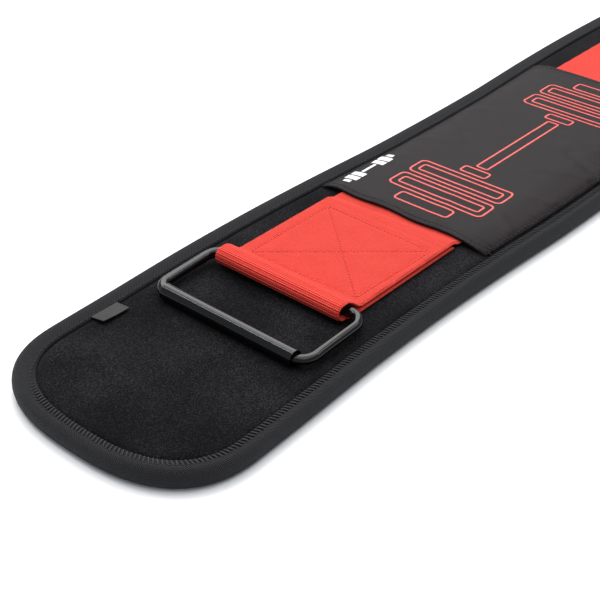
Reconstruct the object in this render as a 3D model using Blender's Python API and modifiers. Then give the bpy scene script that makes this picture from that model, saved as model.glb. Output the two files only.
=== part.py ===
"""A weightlifting belt lying open: padded band, bound rim, webbing strap, back panel and roller buckle.

X runs along the band from the buckle end to the tail, Y is the width and Z is up from the resting face.
Metres. Every function works from the middle of the back, and one root empty carries the belt to its origin.
"""

import math

import bmesh
import bpy
from mathutils import Matrix, Vector

# Padded band
BAND_LENGTH = 0.650
BAND_WIDTH = 0.1266
BAND_THICKNESS = 0.0082
END_DEPTH = 0.050
END_SQUARENESS = 2.6
FACE_CROWN = 0.0005
CROWN_WIDTH = 0.005

# Folded tape round the rim
BINDING_COVER = 0.0096
TAPE_THICKNESS = 0.0012
ROLL_WIDTH = 0.0054
ROLL_RISE = 0.0017
FOLD_ROUNDING = 0.0018

# Webbing strap
STRAP_WIDTH = 0.075
WEBBING = 0.0017
TURNED_BARE = 0.0090
LAYER_STEP = 0.0065
NECK_LENGTH = 0.0105
TAIL_LENGTH = 0.300
TAIL_DROP = 0.030
TAIL_CLIMB = 0.006

# Back panel
PANEL_LENGTH = 0.204
PANEL_CLOTH = 0.0016
PANEL_HEM = 0.0010
PANEL_MARGIN = 0.0015

# Buckle
WIRE = 0.0045
RING_LENGTH = 0.0906
RING_SPAN = 0.0412
RING_CORNER = 0.0078
RING_SHIFT = -0.0021
BUCKLE_FROM_END = 0.1372
ROLLER_DIAMETER = 0.0074
ROLLER_WALL = 0.0008
ROLLER_OVERRUN = 0.0014
FOLD_SLACK = 0.0017
FOLD_PLAY = 0.0033

# Folded label and hook patch
TAG_LENGTH = 0.0155
TAG_REACH = 0.0080
TAG_THICKNESS = 0.0009
TAG_FROM_END = 0.0705
TAG_TILT = math.radians(5)
PATCH_LENGTH = 0.100
PATCH_THICKNESS = 0.0012
PATCH_MARGIN = 0.002

# Space left between pieces that touch on the real belt
GAP = 0.0003

# The band's middle line swings sideways: share of the half length from the back, share of the width
WAVE_SHARES = (
    (0.00, -0.033),
    (0.15, -0.028),
    (0.30, -0.010),
    (0.45, 0.000),
    (0.60, -0.003),
    (0.75, -0.020),
    (0.90, -0.034),
    (1.00, -0.040),
)

# The rolled rim: share of the roll's width in from the edge, share of the roll's height
ROLL_SHARES = (
    (0.92, 0.93),
    (0.65, 1.00),
    (0.30, 0.95),
    (0.06, 0.78),
    (0.00, 0.50),
    (0.06, 0.24),
    (0.26, 0.07),
    (0.60, 0.00),
)

# The panel's rise from its sewn edge: share of the way to the strap's edge, share of the height
RISE_SHARES = ((0.00, 0.00), (0.15, 0.38), (0.45, 0.75), (1.00, 0.97))

# Steps round each quarter of an end, along each side, and round bends
QUARTER_STEPS = 10
SIDE_STEPS = 22
BEND_STEPS = 10

# Sizes that follow
HALF_BAND = BAND_LENGTH / 2
PANEL_START = -PANEL_LENGTH / 2
TAIL_TIP = HALF_BAND + TAIL_LENGTH
SHOULDER = BINDING_COVER + GAP
STRAP_LEVEL = BAND_THICKNESS + GAP
STRAP_HALF = STRAP_WIDTH / 2
BAR_X = BUCKLE_FROM_END - HALF_BAND
TURNED_END = PANEL_START - TURNED_BARE
FOLD_RADIUS = (WIRE + FOLD_SLACK + WEBBING) / 2
BAR_Z = STRAP_LEVEL + WEBBING / 2 + FOLD_RADIUS
ROLLER_Z = STRAP_LEVEL + ROLLER_DIAMETER / 2
RING_TILT = math.asin((BAR_Z - ROLLER_Z) / RING_SPAN)
ROLLER_LENGTH = RING_LENGTH - 2 * RING_CORNER + 2 * ROLLER_OVERRUN


def clear_scene():
    for thing in list(bpy.data.objects):
        bpy.data.objects.remove(thing, do_unlink=True)


def material(name, colour, roughness, metallic=0.0):
    made = bpy.data.materials.new(name)
    made.use_nodes = True
    shader = made.node_tree.nodes["Principled BSDF"]
    shader.inputs["Base Color"].default_value = (*colour, 1.0)
    shader.inputs["Roughness"].default_value = roughness
    shader.inputs["Metallic"].default_value = metallic
    return made


def own(thing, collection, root, finish):
    """Gives a piece its material, its collection and its parent."""
    thing.data.materials.clear()
    thing.data.materials.append(finish)
    for other in list(thing.users_collection):
        other.objects.unlink(thing)
    collection.objects.link(thing)
    thing.parent = root
    return thing


def between(table, share):
    """Reads a two-column table at a share, on a smooth curve through its rows."""
    for row in range(len(table) - 1):
        left, right = table[row], table[row + 1]
        if share <= right[0]:
            break
    before = table[max(row - 1, 0)]
    after = table[min(row + 2, len(table) - 1)]
    width = right[0] - left[0]
    t = min(max((share - left[0]) / width, 0.0), 1.0)
    slope_left = (right[1] - before[1]) / (right[0] - before[0]) * width
    slope_right = (after[1] - left[1]) / (after[0] - left[0]) * width
    return (
        (2 * t**3 - 3 * t**2 + 1) * left[1]
        + (t**3 - 2 * t**2 + t) * slope_left
        + (3 * t**2 - 2 * t**3) * right[1]
        + (t**3 - t**2) * slope_right
    )


def middle_line(x):
    """Sideways place of the band's middle line."""
    return between(WAVE_SHARES, abs(x) / HALF_BAND) * BAND_WIDTH


def band_outline(inset):
    """The band's outline in plan, drawn in by an inset, anticlockwise from the tail end's right corner."""
    half_length = HALF_BAND - inset
    half_width = BAND_WIDTH / 2 - inset
    depth = END_DEPTH - inset
    straight = half_length - depth
    power = 2 / END_SQUARENESS
    quarter = []
    for step in range(QUARTER_STEPS + 1):
        angle = math.pi / 2 * step / QUARTER_STEPS
        along = straight + depth * math.cos(angle) ** power
        across = half_width * math.sin(angle) ** power
        quarter.append((along, across))
    side = [
        (straight - 2 * straight * step / SIDE_STEPS, half_width)
        for step in range(1, SIDE_STEPS)
    ]
    upper = quarter + side + [(-x, y) for x, y in reversed(quarter)]
    lower = [(x, -y) for x, y in reversed(upper[1:-1])]
    return [(x, y + middle_line(x)) for x, y in upper + lower]


def lofted(name, rings, wrap_around, wrap_along):
    """Skins a row of rings that have as many points each, capping the ends of an open row."""
    mesh = bmesh.new()
    rows = [[mesh.verts.new(point) for point in ring] for ring in rings]
    pairs = list(zip(rows, rows[1:]))
    if wrap_along:
        pairs.append((rows[-1], rows[0]))
    count = len(rings[0])
    last = count if wrap_around else count - 1
    for first, second in pairs:
        for i in range(last):
            j = (i + 1) % count
            mesh.faces.new((first[i], first[j], second[j], second[i]))
    if not wrap_along:
        mesh.faces.new(rows[0])
        mesh.faces.new(rows[-1])
    bmesh.ops.recalc_face_normals(mesh, faces=mesh.faces)
    data = bpy.data.meshes.new(name)
    mesh.to_mesh(data)
    mesh.free()
    return bpy.data.objects.new(name, data)


def rim_solid(name, section, closed):
    """Carries a section of insets and heights round the band's outline."""
    rings = [[(x, y, z) for x, y in band_outline(inset)] for inset, z in section]
    return lofted(name, rings, True, closed)


def pocket_section(clearance):
    """The slot inside the folded tape, or the band's tongue that fills it, from the bottom up."""
    end = TAPE_THICKNESS + clearance
    low = TAPE_THICKNESS + clearance
    high = BAND_THICKNESS - TAPE_THICKNESS - clearance
    mouth = BINDING_COVER + clearance
    rounding = FOLD_ROUNDING
    return [
        (mouth, low),
        (end + rounding, low),
        (end + rounding * 0.3, low + rounding * 0.3),
        (end, (low + high) / 2),
        (end + rounding * 0.3, high - rounding * 0.3),
        (end + rounding, high),
        (mouth, high),
    ]


def make_band():
    """The foam pad under its face cloth: a flat slab whose rim is thinned to a tongue for the tape."""
    crown_foot = BAND_THICKNESS - FACE_CROWN
    section = [(SHOULDER + FACE_CROWN, 0.0), (SHOULDER, FACE_CROWN)]
    section += pocket_section(GAP)
    section += [
        (SHOULDER, crown_foot),
        (SHOULDER + CROWN_WIDTH * 0.3, crown_foot + FACE_CROWN * 0.7),
        (SHOULDER + CROWN_WIDTH, BAND_THICKNESS),
    ]
    return rim_solid("belt_body", section, False)


def make_binding():
    """The folded tape: a flange on both faces and a rounded roll outside."""
    roll_height = BAND_THICKNESS + ROLL_RISE
    section = [(BINDING_COVER, BAND_THICKNESS), (ROLL_WIDTH, BAND_THICKNESS)]
    section += [(ROLL_WIDTH * inward, roll_height * up) for inward, up in ROLL_SHARES]
    section += [(BINDING_COVER, 0.0)]
    section += pocket_section(0.0)
    return rim_solid("edge_binding", section, True)


def eased(start, end, steps=BEND_STEPS):
    """Points after start on a smooth S curve to end."""
    points = []
    for step in range(1, steps + 1):
        share = step / steps
        rise = (1 - math.cos(math.pi * share)) / 2
        points.append((start[0] + (end[0] - start[0]) * share, start[1] + (end[1] - start[1]) * rise))
    return points


def strap_path():
    """The webbing's middle line in side view, from its turned-back end to the tail's tip."""
    lower = STRAP_LEVEL + WEBBING / 2
    upper = lower + WEBBING + GAP
    fold_x = BAR_X - FOLD_PLAY
    path = [(TURNED_END, lower)]
    for step in range(BEND_STEPS + 1):
        angle = math.pi * step / BEND_STEPS
        path.append(
            (
                fold_x - FOLD_RADIUS * math.sin(angle),
                lower + FOLD_RADIUS * (1 - math.cos(angle)),
            )
        )
    neck = (BAR_X + WEBBING / 3, lower + 2 * FOLD_RADIUS)
    path.append(neck)
    path += eased(neck, (BAR_X + NECK_LENGTH, upper))
    step_down = (TURNED_END + GAP, upper)
    path.append(step_down)
    path += eased(step_down, (TURNED_END + LAYER_STEP, lower))
    # The tape's roll at the tail end curves away at the strap's edges, so the climb starts further in
    bow = END_DEPTH * (1 - (1 - (STRAP_WIDTH / BAND_WIDTH) ** END_SQUARENESS) ** (1 / END_SQUARENESS))
    roll_start = HALF_BAND - bow - ROLL_WIDTH - GAP
    crest = lower + ROLL_RISE
    path.append((roll_start - TAIL_CLIMB, lower))
    path += eased((roll_start - TAIL_CLIMB, lower), (roll_start, crest))
    path.append((HALF_BAND - GAP, crest))
    path += eased((HALF_BAND - GAP, crest), (HALF_BAND + TAIL_DROP, WEBBING / 2))
    path.append((TAIL_TIP, WEBBING / 2))
    return path


def thickened(path, thickness):
    """Closed outline of a path given an even thickness."""
    left, right = [], []
    for i, (x, z) in enumerate(path):
        before = Vector(path[max(i - 1, 0)])
        after = Vector(path[min(i + 1, len(path) - 1)])
        run = (after - before).normalized()
        across = Vector((-run.y, run.x)) * thickness / 2
        left.append((x + across.x, z + across.y))
        right.append((x - across.x, z - across.y))
    return left + right[::-1]


def flat_outline(name, points, half_depth):
    """A filled 2D curve given depth to both sides of its plane."""
    data = bpy.data.curves.new(name, "CURVE")
    data.dimensions = "2D"
    data.fill_mode = "BOTH"
    data.extrude = half_depth
    spline = data.splines.new("POLY")
    spline.points.add(len(points) - 1)
    for point, (x, y) in zip(spline.points, points):
        point.co = (x, y, 0.0, 1.0)
    spline.use_cyclic_u = True
    return bpy.data.objects.new(name, data)


def make_strap():
    """One length of webbing, drawn in side view and turned upright."""
    strap = flat_outline("main_strap", thickened(strap_path(), WEBBING), STRAP_HALF)
    strap.rotation_euler = (math.pi / 2, 0.0, 0.0)
    return strap


def panel_section(x):
    """The panel's section across the band: sewn down at both edges and raised over the strap."""
    middle = middle_line(x)
    reach = BAND_WIDTH / 2 - BINDING_COVER - PANEL_MARGIN
    foot = BAND_THICKNESS + GAP
    strap_top = STRAP_LEVEL + WEBBING + GAP
    hem_top = foot + PANEL_HEM
    crest = strap_top + PANEL_CLOTH
    shoulder = STRAP_HALF + GAP
    under = [
        (-reach + middle, foot),
        (-shoulder - PANEL_CLOTH, foot),
        (-shoulder, strap_top),
        (shoulder, strap_top),
        (shoulder + PANEL_CLOTH, foot),
        (reach + middle, foot),
    ]
    over = []
    for share, height in RISE_SHARES:
        edge = reach + middle
        over.append((edge + (shoulder - edge) * share, hem_top + (crest - hem_top) * height))
    over.append((0.0, crest))
    for share, height in reversed(RISE_SHARES):
        edge = -reach + middle
        over.append((edge - (shoulder + edge) * share, hem_top + (crest - hem_top) * height))
    return [(x, y, z) for y, z in under + over]


def make_panel():
    """The sewn cover at the middle of the back, whose edges follow the binding."""
    stations = 12
    rings = [panel_section(PANEL_START + PANEL_LENGTH * i / stations) for i in range(stations + 1)]
    return lofted("back_panel", rings, True, False)


def make_ring():
    """The wire rectangle, with its origin on the far bar that it swings about."""
    data = bpy.data.curves.new("buckle_ring", "CURVE")
    data.dimensions = "3D"
    data.bevel_depth = WIRE / 2
    data.bevel_resolution = 4
    half = RING_LENGTH / 2 - RING_CORNER
    corners = (
        (-RING_CORNER, half, 0),
        (RING_CORNER - RING_SPAN, half, 1),
        (RING_CORNER - RING_SPAN, -half, 2),
        (-RING_CORNER, -half, 3),
    )
    points = []
    for x, y, quarter in corners:
        for step in range(BEND_STEPS // 2 + 1):
            angle = math.pi / 2 * (quarter + step / (BEND_STEPS // 2))
            points.append((x + RING_CORNER * math.cos(angle), y + RING_CORNER * math.sin(angle)))
    spline = data.splines.new("POLY")
    spline.points.add(len(points) - 1)
    for point, (x, y) in zip(spline.points, points):
        point.co = (x, y, 0.0, 1.0)
    spline.use_cyclic_u = True
    ring = bpy.data.objects.new("buckle_ring", data)
    ring.location = (BAR_X, RING_SHIFT, BAR_Z)
    ring.rotation_euler = (0.0, -RING_TILT, 0.0)
    return ring


def make_roller():
    """The tube on the near bar, turned about its own axis."""
    outer = ROLLER_DIAMETER / 2
    inner = outer - ROLLER_WALL
    half = ROLLER_LENGTH / 2
    lip = ROLLER_WALL / 3
    profile = [
        (outer - lip, half),
        (outer, half - lip),
        (outer, lip - half),
        (outer - lip, -half),
        (inner, -half),
        (inner, half),
    ]
    mesh = bmesh.new()
    corners = [mesh.verts.new((x, 0.0, z)) for x, z in profile]
    for first, second in zip(corners, corners[1:] + corners[:1]):
        mesh.edges.new((first, second))
    data = bpy.data.meshes.new("buckle_roller")
    mesh.to_mesh(data)
    mesh.free()
    roller = bpy.data.objects.new("buckle_roller", data)
    turned = roller.modifiers.new("Turned", "SCREW")
    turned.angle = math.tau
    turned.steps = 24
    turned.render_steps = 24
    turned.use_merge_vertices = True
    turned.merge_threshold = 0.00001
    turned.use_smooth_shade = True
    roller.location = (BAR_X - RING_SPAN * math.cos(RING_TILT), RING_SHIFT, ROLLER_Z)
    roller.rotation_euler = (math.pi / 2, 0.0, 0.0)
    return roller


def block(name, size, rounding):
    """A box about its own centre, with softened edges."""
    mesh = bmesh.new()
    bmesh.ops.create_cube(mesh, size=1.0, matrix=Matrix.Diagonal((*size, 1.0)))
    data = bpy.data.meshes.new(name)
    mesh.to_mesh(data)
    mesh.free()
    made = bpy.data.objects.new(name, data)
    soft = made.modifiers.new("Softened", "BEVEL")
    soft.width = rounding
    soft.segments = 2
    return made


def make_tag():
    """The folded label that leaves the binding's seam and lies tilted on the face."""
    tag = block("size_tag", (TAG_LENGTH, TAG_REACH, TAG_THICKNESS), TAG_THICKNESS / 4)
    x = TAG_FROM_END - HALF_BAND
    seam = middle_line(x) + BAND_WIDTH / 2 - BINDING_COVER
    root_y = seam - GAP - TAG_THICKNESS / 2
    root_z = BAND_THICKNESS + GAP + TAG_THICKNESS / 2
    tag.rotation_euler = (-TAG_TILT, 0.0, 0.0)
    reach = Vector((0.0, -math.cos(TAG_TILT), math.sin(TAG_TILT))) * TAG_REACH / 2
    tag.location = Vector((x, root_y, root_z)) + reach
    return tag


def make_patch():
    """The hook tape sewn on the tail's end."""
    size = (PATCH_LENGTH, STRAP_WIDTH - 2 * PATCH_MARGIN, PATCH_THICKNESS)
    patch = block("hook_patch", size, PATCH_THICKNESS / 4)
    patch.location = (
        TAIL_TIP - PATCH_MARGIN - PATCH_LENGTH / 2,
        0.0,
        WEBBING + GAP + PATCH_THICKNESS / 2,
    )
    return patch


def make_root(collection):
    """The empty that moves the finished belt so that its box stands centred on the origin."""
    across = [y for _, y in band_outline(0.0)]
    root = bpy.data.objects.new("belt_origin", None)
    root.location = (-TAIL_LENGTH / 2, -(max(across) + min(across)) / 2, 0.0)
    collection.objects.link(root)
    return root


def main():
    clear_scene()
    belt = bpy.data.collections.new("weightlifting_belt")
    bpy.context.scene.collection.children.link(belt)
    root = make_root(belt)
    pieces = (
        (make_band, material("face_cloth", (0.012, 0.012, 0.013), 0.9)),
        (make_binding, material("binding_tape", (0.016, 0.017, 0.018), 0.8)),
        (make_strap, material("red_webbing", (0.80, 0.045, 0.030), 0.75)),
        (make_panel, material("panel_nylon", (0.030, 0.026, 0.028), 0.55)),
        (make_ring, material("black_wire", (0.010, 0.011, 0.012), 0.2, 0.6)),
        (make_roller, material("black_tube", (0.010, 0.011, 0.012), 0.2, 0.6)),
        (make_tag, material("label_cloth", (0.022, 0.020, 0.022), 0.6)),
        (make_patch, material("hook_tape", (0.012, 0.012, 0.013), 0.85)),
    )
    for make, finish in pieces:
        own(make(), belt, root, finish)


main()
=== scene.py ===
# %% [markdown]
# # Dressing a weightlifting belt
# The belt lies open with its outer face up: a padded band with a taped rim, a red webbing strap sewn to
# it, a nylon cover over the strap at the middle of the back, and a wire ring with a loose roller at the
# near end. Hard parts set the frame, and every piece made here is laid where those parts say, in metres.

# %% The frame
import math

import bmesh
import bpy
import numpy as np
from mathutils import Matrix, Vector, noise


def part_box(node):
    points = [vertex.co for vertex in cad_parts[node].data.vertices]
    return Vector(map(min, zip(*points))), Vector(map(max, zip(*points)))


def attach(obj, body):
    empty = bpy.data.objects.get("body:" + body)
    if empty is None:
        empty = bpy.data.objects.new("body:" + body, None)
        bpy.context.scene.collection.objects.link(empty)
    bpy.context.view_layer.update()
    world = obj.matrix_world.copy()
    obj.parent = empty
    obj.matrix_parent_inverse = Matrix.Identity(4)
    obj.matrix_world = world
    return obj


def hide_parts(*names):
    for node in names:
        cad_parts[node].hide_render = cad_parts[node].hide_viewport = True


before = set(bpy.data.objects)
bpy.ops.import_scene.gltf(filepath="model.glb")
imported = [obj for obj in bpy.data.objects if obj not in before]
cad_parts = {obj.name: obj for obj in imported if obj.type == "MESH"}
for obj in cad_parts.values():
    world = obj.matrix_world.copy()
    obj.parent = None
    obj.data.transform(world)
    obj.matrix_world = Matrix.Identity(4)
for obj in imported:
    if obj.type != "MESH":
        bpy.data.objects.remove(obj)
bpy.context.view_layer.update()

# %% [markdown]
# ## Sizes that the pieces share
# A belt maker cuts every layer to one pattern, so the same few sizes come back all over the belt.
# Each piece is drawn about the middle of the back and then carried to where the frame has that point.

# %% Sizes
BAND_LENGTH = 0.650
BAND_WIDTH = 0.1266
BAND_THICKNESS = 0.0082
END_DEPTH = 0.050
END_SQUARENESS = 2.6
TAPE_COVER = 0.0096
TAPE_THICKNESS = 0.0012
STRAP_WIDTH = 0.075
WEBBING = 0.0017
PANEL_LENGTH = 0.204
PANEL_MARGIN = 0.0015
GAP = 0.0003
WIRE = 0.0045
HALF_BAND = BAND_LENGTH / 2
STRAIGHT = HALF_BAND - END_DEPTH
SHOULDER = TAPE_COVER + GAP
STRAP_LEVEL = BAND_THICKNESS + GAP
STRAP_HALF = STRAP_WIDTH / 2
PANEL_START = -PANEL_LENGTH / 2

rim_low, rim_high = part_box("edge_binding")
strap_low, strap_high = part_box("main_strap")
BACK = Vector(((rim_low.x + rim_high.x) / 2, (strap_low.y + strap_high.y) / 2, 0.0))
print("middle of the back, mm:", [round(1000 * c, 3) for c in BACK])

# %% [markdown]
# ## Curves through a few points
# The band's middle line swings a little sideways, and many sections below are given by a few points too.
# One helper reads such a table on a smooth curve, for one place or for thousands at once.

# %% Reading a table smoothly
WAVE_SHARES = (
    (0.00, -0.033),
    (0.15, -0.028),
    (0.30, -0.010),
    (0.45, 0.000),
    (0.60, -0.003),
    (0.75, -0.020),
    (0.90, -0.034),
    (1.00, -0.040),
)


def between(table, share):
    """Reads a two-column table at one share or many, on a smooth curve through its rows."""
    places, values = np.array(table, float).T
    share = np.clip(np.asarray(share, float), places[0], places[-1])
    row = np.clip(np.searchsorted(places, share) - 1, 0, len(places) - 2)
    before = np.maximum(row - 1, 0)
    after = np.minimum(row + 2, len(places) - 1)
    width = places[row + 1] - places[row]
    t = (share - places[row]) / width
    slope_in = (values[row + 1] - values[before]) / (places[row + 1] - places[before]) * width
    slope_out = (values[after] - values[row]) / (places[after] - places[row]) * width
    start = (2 * t**3 - 3 * t**2 + 1) * values[row] + (t**3 - 2 * t**2 + t) * slope_in
    return start + (3 * t**2 - 2 * t**3) * values[row + 1] + (t**3 - t**2) * slope_out


def middle_line(x):
    """Sideways place of the band's middle line."""
    return between(WAVE_SHARES, np.abs(x) / HALF_BAND) * BAND_WIDTH


def smooth_step(low, high, value):
    """0 below low, 1 above high and a soft S between."""
    t = np.clip((np.asarray(value, float) - low) / (high - low), 0.0, 1.0)
    return t * t * (3 - 2 * t)


# %% [markdown]
# ## Walking round the rim
# The band's ends are superellipses, squarer than a half circle. The walk below puts evenly spaced
# stations round the whole rim, so threads and stitches keep one pitch, and every inset of the outline
# uses the same walk.

# %% Stations round the rim
def rim_walk(count):
    """Evenly spaced stations from the tail end's middle: fixed part, reach along and reach across."""
    angle = np.linspace(0.0, math.pi / 2, 4001)
    deep = np.cos(angle) ** (2 / END_SQUARENESS)
    wide = np.sin(angle) ** (2 / END_SQUARENESS)
    side = np.linspace(STRAIGHT, -STRAIGHT, 2001)[1:-1]
    fixed = np.concatenate([np.full(4001, STRAIGHT), side, np.full(4001, -STRAIGHT)])
    reach = np.concatenate([deep, np.zeros(1999), -deep[::-1]])
    across = np.concatenate([wide, np.ones(1999), wide[::-1]])
    fixed = np.concatenate([fixed, fixed[::-1][1:]])
    reach = np.concatenate([reach, reach[::-1][1:]])
    across = np.concatenate([across, -across[::-1][1:]])
    x = fixed + reach * END_DEPTH
    y = across * BAND_WIDTH / 2
    length = np.concatenate([[0.0], np.cumsum(np.hypot(np.diff(x), np.diff(y)))])
    wanted = np.arange(count) / count * length[-1]
    walk = [np.interp(wanted, length, part) for part in (fixed, reach, across)]
    return walk, length[-1]


def rim_points(walk, inset):
    """Places on the outline drawn in by an inset, which may change from station to station."""
    fixed, reach, across = walk
    x = fixed + reach * (END_DEPTH - inset)
    y = across * (BAND_WIDTH / 2 - inset) + middle_line(x)
    return x, y


RIM_LENGTH = rim_walk(8)[1]
print("round the rim, mm:", round(1000 * RIM_LENGTH, 1))

# %% [markdown]
# ## From a grid of points to a mesh
# Cloth is easiest to make as a grid: rows one way, columns the other, and a UV pair at every corner that
# counts real metres along and across, so that a weave keeps its scale wherever the cloth goes.

# %% Mesh helpers
def new_piece(name, data):
    made = bpy.data.objects.new(name, data)
    bpy.context.scene.collection.objects.link(made)
    return made


def grid_piece(name, points, uv, wrap_rows=False, wrap_columns=False, cap=False):
    """A closed or open skin over a grid of points about the middle of the back."""
    rows, columns, _ = points.shape
    last_row = rows if wrap_rows else rows - 1
    last_column = columns if wrap_columns else columns - 1
    i, j = np.meshgrid(np.arange(last_row), np.arange(last_column), indexing="ij")
    i, j = i.ravel(), j.ravel()
    corners = ((i, j), (i, j + 1), (i + 1, j + 1), (i + 1, j))
    faces = np.stack([(a % rows) * columns + b % columns for a, b in corners], axis=1)
    places = points.reshape(-1, 3) + np.array(BACK)
    data = bpy.data.meshes.new(name)
    data.from_pydata(places.tolist(), [], faces.tolist())
    pairs = np.stack([uv[a, b] for a, b in corners], axis=1).reshape(-1)
    layer = data.uv_layers.new(name="cloth")
    layer.data.foreach_set("uv", pairs.astype(np.float32))
    mesh = bmesh.new()
    mesh.from_mesh(data)
    if cap:
        mesh.verts.ensure_lookup_table()
        mesh.faces.new([mesh.verts[k] for k in range(columns)])
        mesh.faces.new([mesh.verts[(rows - 1) * columns + k] for k in range(columns)])
    bmesh.ops.remove_doubles(mesh, verts=mesh.verts, dist=1e-6)
    bmesh.ops.recalc_face_normals(mesh, faces=mesh.faces)
    for face in mesh.faces:
        face.smooth = True
    mesh.to_mesh(data)
    mesh.free()
    return new_piece(name, data)


def slab_piece(name, top, bottom, uv, sharp=60):
    """Cloth with a thickness: two grids of points joined round their edge."""
    loop = np.concatenate([top, bottom[:, ::-1]], axis=1)
    pairs = np.concatenate([uv, uv[:, ::-1], uv[:, :1]], axis=1)
    made = grid_piece(name, loop, pairs, wrap_columns=True)
    rows, columns, _ = top.shape
    mesh = bmesh.new()
    mesh.from_mesh(made.data)
    mesh.verts.ensure_lookup_table()
    layer = mesh.loops.layers.uv.active
    for row in (0, rows - 1):
        base = row * 2 * columns
        for k in range(columns - 1):
            corners = (base + k, base + k + 1, base + 2 * columns - 2 - k, base + 2 * columns - 1 - k)
            face = mesh.faces.new([mesh.verts[c] for c in corners])
            face.smooth = True
            pairs = (uv[row, k], uv[row, k + 1], uv[row, k + 1], uv[row, k])
            for loop_corner, pair in zip(face.loops, pairs):
                loop_corner[layer].uv = pair
    bmesh.ops.recalc_face_normals(mesh, faces=mesh.faces)
    mesh.to_mesh(made.data)
    mesh.free()
    made.data.set_sharp_from_angle(angle=math.radians(sharp))
    return made


def counted(piece):
    """Prints how large a piece came out."""
    low, high = Vector(piece.bound_box[0]), Vector(piece.bound_box[6])
    size = [round(1000 * c, 1) for c in high - low]
    triangles = sum(len(p.vertices) - 2 for p in piece.data.polygons)
    print(piece.name, "mm:", size, "triangles:", triangles)


def lay(piece, body, slot, *stands_for):
    """Hands a finished piece to the body that carries it."""
    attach(piece, body)
    if stands_for:
        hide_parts(*stands_for)
    counted(piece)
    return piece


# %% [markdown]
# ## Camera
# The picture is taken from above the near end with a long lens, so the belt runs away to the top right.
# The three axes below are the camera's own: right, down and forward in the frame's directions.

# %% Camera
CAMERA_PLACE = Vector((-0.7171, -0.3389, 0.3454))
CAMERA_RIGHT = Vector((0.65806, -0.75296, -0.00104))
CAMERA_DOWN = Vector((-0.42060, -0.36644, -0.82995))
CAMERA_FORWARD = Vector((0.62454, 0.54660, -0.55783))

lens = bpy.data.cameras.new("picture_camera")
lens.sensor_fit = "HORIZONTAL"
lens.sensor_width = 36.0
lens.lens = 79.06
lens.clip_start = 0.02
lens.clip_end = 50.0
camera = bpy.data.objects.new("picture_camera", lens)
turn = Matrix((CAMERA_RIGHT, -CAMERA_DOWN, -CAMERA_FORWARD)).transposed()
camera.matrix_world = Matrix.Translation(CAMERA_PLACE) @ turn.to_4x4()
bpy.context.scene.collection.objects.link(camera)
bpy.context.scene.camera = camera
print("camera height, mm:", round(1000 * CAMERA_PLACE.z))

# %% [markdown]
# ## Studio
# A white floor and a large soft light behind the belt, as in a catalogue picture: shadows fall softly
# towards the camera, and the gloss of the ring shows a broad glow above one thin bright line from a strip
# light.

# %% Floor and lights
def node_material(name):
    made = bpy.data.materials.new(name)
    made.use_nodes = True
    shader = made.node_tree.nodes["Principled BSDF"]
    return made, made.node_tree, shader


floor_mesh = bmesh.new()
bmesh.ops.create_grid(floor_mesh, x_segments=1, y_segments=1, size=6.0)
floor_data = bpy.data.meshes.new("studio_floor")
floor_mesh.to_mesh(floor_data)
floor_mesh.free()
floor = new_piece("studio_floor", floor_data)
floor.location.z = -0.0002
floor_white, _, floor_shader = node_material("floor_white")
floor_shader.inputs["Base Color"].default_value = (0.94, 0.945, 0.955, 1.0)
floor_shader.inputs["Roughness"].default_value = 0.9
floor_shader.inputs["Specular IOR Level"].default_value = 0.1
floor.data.materials.append(floor_white)

RING_MIDDLE = Vector((-0.36, 0.0, 0.012))


def area_light(name, place, target, width, height, power, tint=(1.0, 1.0, 1.0), spin=0.0):
    data = bpy.data.lights.new(name, "AREA")
    data.shape = "RECTANGLE"
    data.size = width
    data.size_y = height
    data.energy = power
    data.color = tint
    light = bpy.data.objects.new(name, data)
    bpy.context.scene.collection.objects.link(light)
    aim = (Vector(target) - Vector(place)).to_track_quat("-Z", "Y")
    light.rotation_mode = "QUATERNION"
    light.rotation_quaternion = aim @ Matrix.Rotation(spin, 3, "Z").to_quaternion()
    light.location = place
    return light


area_light("back_softbox", RING_MIDDLE + Vector((1.05, 0.95, 1.40)), RING_MIDDLE, 1.7, 1.7, 36.0)
area_light("strip_light", RING_MIDDLE + Vector((-0.17, 1.06, 1.60)), RING_MIDDLE, 0.07, 1.2, 7.0)
area_light("arm_strip", RING_MIDDLE + Vector((1.18, -0.53, 1.37)), RING_MIDDLE, 1.0, 0.06, 3.0)
area_light("top_softbox", Vector((-0.1, 0.0, 2.2)), Vector((-0.1, 0.0, 0.0)), 2.4, 2.4, 37.0)

studio = bpy.data.worlds.new("studio_world")
studio.use_nodes = True
studio.node_tree.nodes["Background"].inputs["Color"].default_value = (0.93, 0.96, 1.0, 1.0)
studio.node_tree.nodes["Background"].inputs["Strength"].default_value = 0.47
bpy.context.scene.world = studio
bpy.context.scene.view_settings.view_transform = "Standard"
bpy.context.scene.view_settings.look = "None"

# %% [markdown]
# ## Small tools for materials
# Every weave below is built from waves across the cloth's own UV, which counts metres. A few short
# helpers keep those node trees readable: one adds a math node, one a wave of a given pitch, one a bump.

# %% Material helpers
def math_node(tree, operation, first, second=None):
    node = tree.nodes.new("ShaderNodeMath")
    node.operation = operation
    for socket, value in zip(node.inputs, (first, second)):
        if value is None:
            continue
        if isinstance(value, (int, float)):
            socket.default_value = value
        else:
            tree.links.new(value, socket)
    return node.outputs[0]


def cloth_axes(tree):
    """The two UV directions of a cloth, in metres."""
    uv = tree.nodes.new("ShaderNodeUVMap")
    uv.uv_map = "cloth"
    split = tree.nodes.new("ShaderNodeSeparateXYZ")
    tree.links.new(uv.outputs["UV"], split.inputs["Vector"])
    return split.outputs["X"], split.outputs["Y"]


def wave(tree, place, pitch):
    """A smooth ridge from 0 to 1 that comes back every pitch."""
    turns = math_node(tree, "MULTIPLY", place, 2 * math.pi / pitch)
    swing = math_node(tree, "SINE", turns)
    return math_node(tree, "MULTIPLY_ADD", swing, 0.5)


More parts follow.
